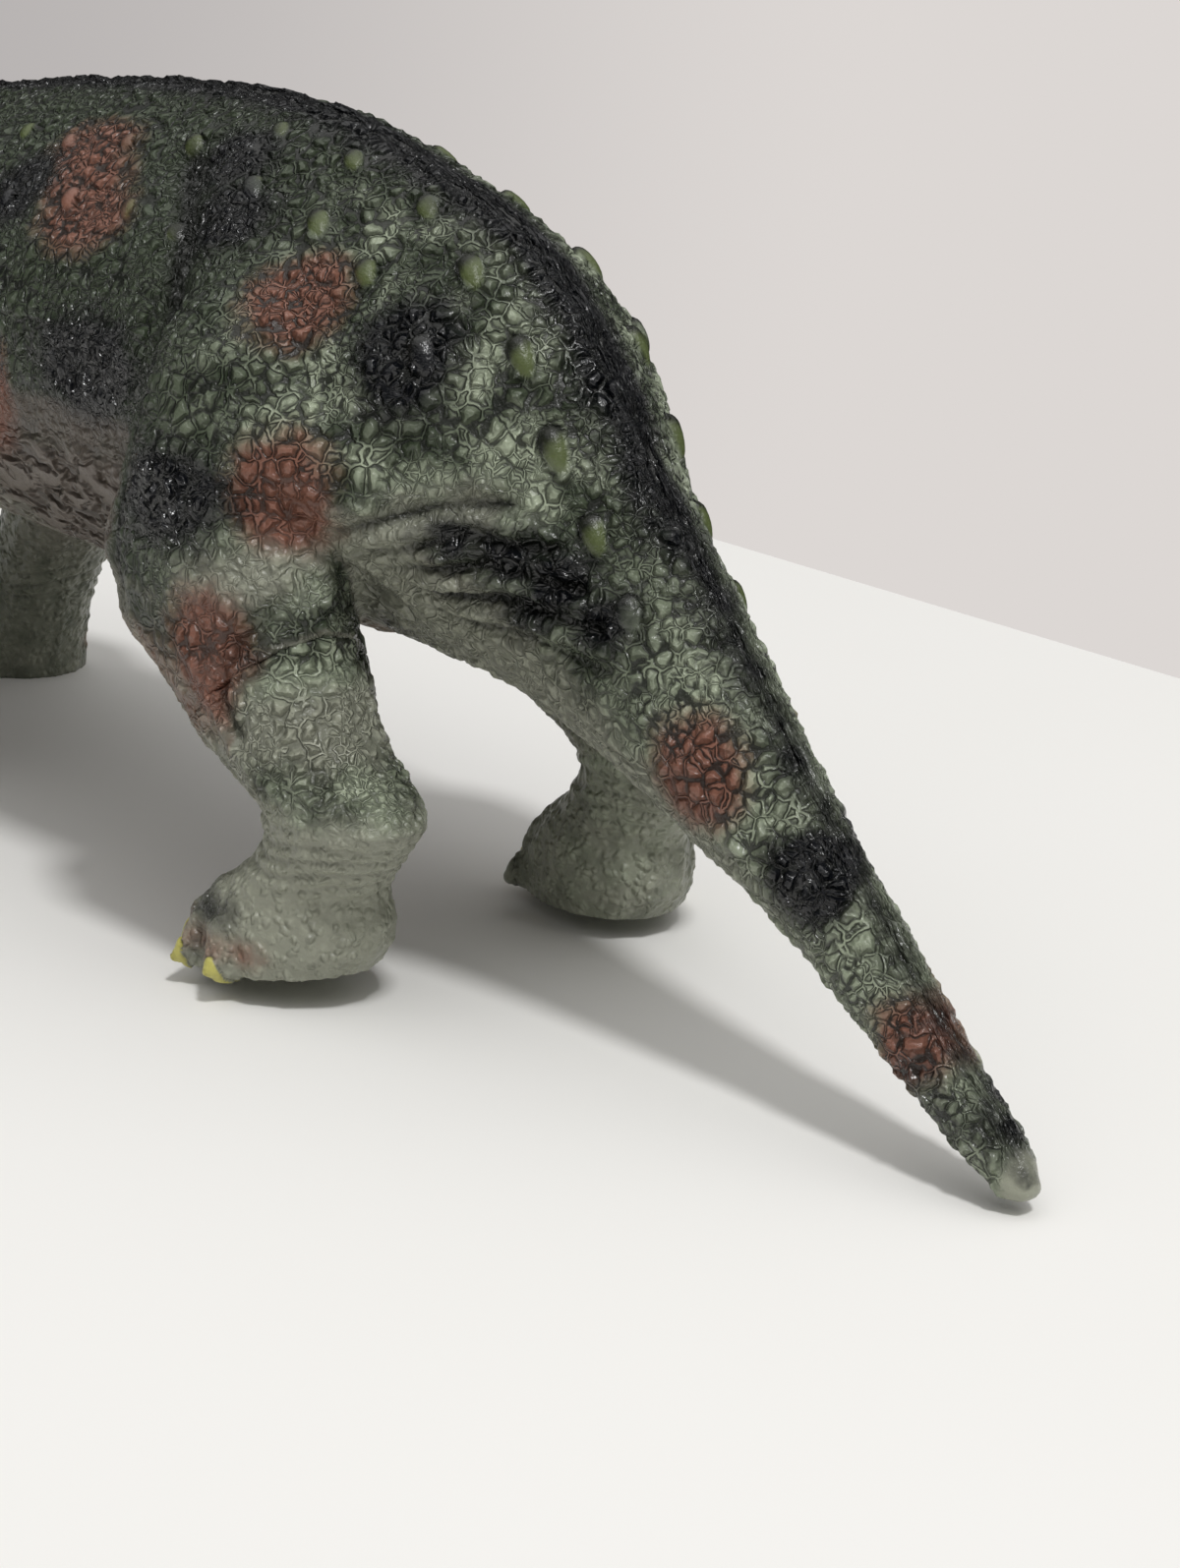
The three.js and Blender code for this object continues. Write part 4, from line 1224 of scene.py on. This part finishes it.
class DinosaurSettings(bpy.types.PropertyGroup):
    """Sizes, colours and light levels that a user would change"""

    large_scale: length("Large scales", "Width of the large scales", 3.5)
    small_scale: length("Small scales", "Width of the small scales", 2.1)
    relief: number("Relief", "Share of the cast relief that the mesh itself carries", 1.05)
    bump: length("Bump", "Depth that the vinyl adds for each millimetre of relief", 2.4)
    boss_rise: number("Boss rise", "Share of a boss's height that stands over the scales", 0.85)
    claw_width: length("Claw width", "Width of each claw", 3.4)
    claw_height: length("Claw height", "Height of each claw", 5.4)
    claw_rise: length("Claw rise", "How far a claw stands out from its toe", 0.9)
    toe_rise: length("Toe rise", "How far the toes swell", 0.7)
    toe_gap: length("Toe gap", "Depth of the gaps between the toes", 1.3)
    ring_rise: length("Horn rings", "How far the horns' growth rings stand out", 0.11)
    pupil_width: length("Pupil", "Width of the pupils", 3.4)
    iris_width: length("Iris", "Width of the irises", 8.6)
    green: colour("Green", "Ground coat of the back and flanks", "#a1aa93")
    # Painted shade: this dark green covers the front of the body, where the flanks stand in shade,
    # besides its random clouds
    painted_shade_green: colour("Dark green", "Clouds in the ground coat", "#414a39")
    leg_green: colour("Leg green", "Pale coat of the legs and under the tail", "#999b8b")
    belly_grey: colour("Belly grey", "Warm coat of the belly", "#655c54")
    boss_olive: colour("Boss olive", "Tops of the bosses", "#525c36")
    spot_brown: colour("Brown", "Brown spots, shins and toes", "#845b4c")
    spot_black: colour("Black", "Black spots and the stripe", "#090b10")
    claw_yellow: colour("Claw yellow", "Claws", "#bfb968")
    # Painted shade: dark colour laid in the hollows and folds, on the bosses' upper fronts and between
    # the horns' rings
    painted_shade_dark: colour("Dark wash", "Thin dark paint left in the hollows", "#0a0c09")
    horn_ivory: colour("Ivory", "Horns", "#c9bb95")
    horn_brown: colour("Horn brown", "Roots and grain of the horns", "#8c7a58")
    iris_amber: colour("Amber", "Lighter spokes of the irises", "#b98a3a")
    iris_brown: colour("Iris brown", "Darker spokes of the irises", "#8a5a1e")
    plug_grey: colour("Plug grey", "Belly plug", "#4c5148")
    fibre_white: colour("Fibre white", "Lighter strands of the stuffing", "#f1efe9")
    fibre_shade: colour("Fibre shade", "Darker strands of the stuffing", "#d9d6cd")
    table_white: colour("Table white", "Lighter clouds of the table", "#eeedeb")
    table_shade: colour("Table shade", "Darker clouds of the table", "#ebeae7")
    wall_pale: colour("Wall", "Wall behind the table", "#dcd7d4")
    wall_shade: colour("Wall shade", "Wall where it darkens to one side", "#b4b0af")
    key_light: number("Key light", "Power of the high lamp", 170.0, "POWER")
    top_light: number("Top light", "Room light from overhead", 1.25)
    back_light: number("Back light", "Room light from behind the toy", 0.22)
    side_light: number("Side light", "Room light from the sides", 0.05)


class DINOSAUR_OT_body(bpy.types.Operator):
    """Cast body skin with thighs, shoulders and tail"""

    bl_idname = "dinosaur.body"
    bl_label = "Body skin"

    def execute(self, context):
        make_body(context.scene.dinosaur)
        return {"FINISHED"}


class DINOSAUR_OT_legs(bpy.types.Operator):
    """Four cast lower legs with toes and claws"""

    bl_idname = "dinosaur.legs"
    bl_label = "Legs"

    def execute(self, context):
        for node in LEGS:
            make_leg(context.scene.dinosaur, node)
        return {"FINISHED"}


class DINOSAUR_OT_head(bpy.types.Operator):
    """Cast head with its frill and beak"""

    bl_idname = "dinosaur.head"
    bl_label = "Head skin"

    def execute(self, context):
        make_head(context.scene.dinosaur)
        return {"FINISHED"}


class DINOSAUR_OT_horns(bpy.types.Operator):
    """Two brow horns and the nose horn"""

    bl_idname = "dinosaur.horns"
    bl_label = "Horns"

    def execute(self, context):
        make_horns(context.scene.dinosaur)
        return {"FINISHED"}


class DINOSAUR_OT_eyes(bpy.types.Operator):
    """Two glossy eyes"""

    bl_idname = "dinosaur.eyes"
    bl_label = "Eyes"

    def execute(self, context):
        make_eyes(context.scene.dinosaur)
        return {"FINISHED"}


class DINOSAUR_OT_plug(bpy.types.Operator):
    """Plug that closes the stuffing hole"""

    bl_idname = "dinosaur.plug"
    bl_label = "Belly plug"

    def execute(self, context):
        make_plug(context.scene.dinosaur)
        return {"FINISHED"}


class DINOSAUR_OT_stuffing(bpy.types.Operator):
    """Fibre wadding inside the skins"""

    bl_idname = "dinosaur.stuffing"
    bl_label = "Stuffing"

    def execute(self, context):
        make_fills(context.scene.dinosaur)
        return {"FINISHED"}


class DINOSAUR_OT_stage(bpy.types.Operator):
    """White table whose far edge runs behind the toy, a high lamp, the room and the camera"""

    bl_idname = "dinosaur.stage"
    bl_label = "Stage"

    def execute(self, context):
        make_table(context.scene.dinosaur)
        make_room(context.scene.dinosaur)
        make_lamp(context.scene.dinosaur)
        make_camera()
        return {"FINISHED"}


OPERATORS = (
    DINOSAUR_OT_body,
    DINOSAUR_OT_legs,
    DINOSAUR_OT_head,
    DINOSAUR_OT_horns,
    DINOSAUR_OT_eyes,
    DINOSAUR_OT_plug,
    DINOSAUR_OT_stuffing,
    DINOSAUR_OT_stage,
)


class DINOSAUR_PT_pieces(bpy.types.Panel):
    """Lists the settings and the pieces to build"""

    bl_label = "Dinosaur"
    bl_idname = "DINOSAUR_PT_pieces"
    bl_space_type = "VIEW_3D"
    bl_region_type = "UI"
    bl_category = "Dinosaur"

    def draw(self, context):
        settings = context.scene.dinosaur
        for name in DinosaurSettings.__annotations__:
            self.layout.prop(settings, name)
        for maker in OPERATORS:
            self.layout.operator(maker.bl_idname)


CLASSES = (DinosaurSettings, *OPERATORS, DINOSAUR_PT_pieces)


def register():
    for item in CLASSES:
        bpy.utils.register_class(item)
    bpy.types.Scene.dinosaur = PointerProperty(type=DinosaurSettings)


def unregister():
    del bpy.types.Scene.dinosaur
    for item in reversed(CLASSES):
        bpy.utils.unregister_class(item)


def main():
    register()
    for maker in OPERATORS:
        getattr(bpy.ops.dinosaur, maker.bl_idname.split(".")[1])()


if __name__ == "__main__":
    main()
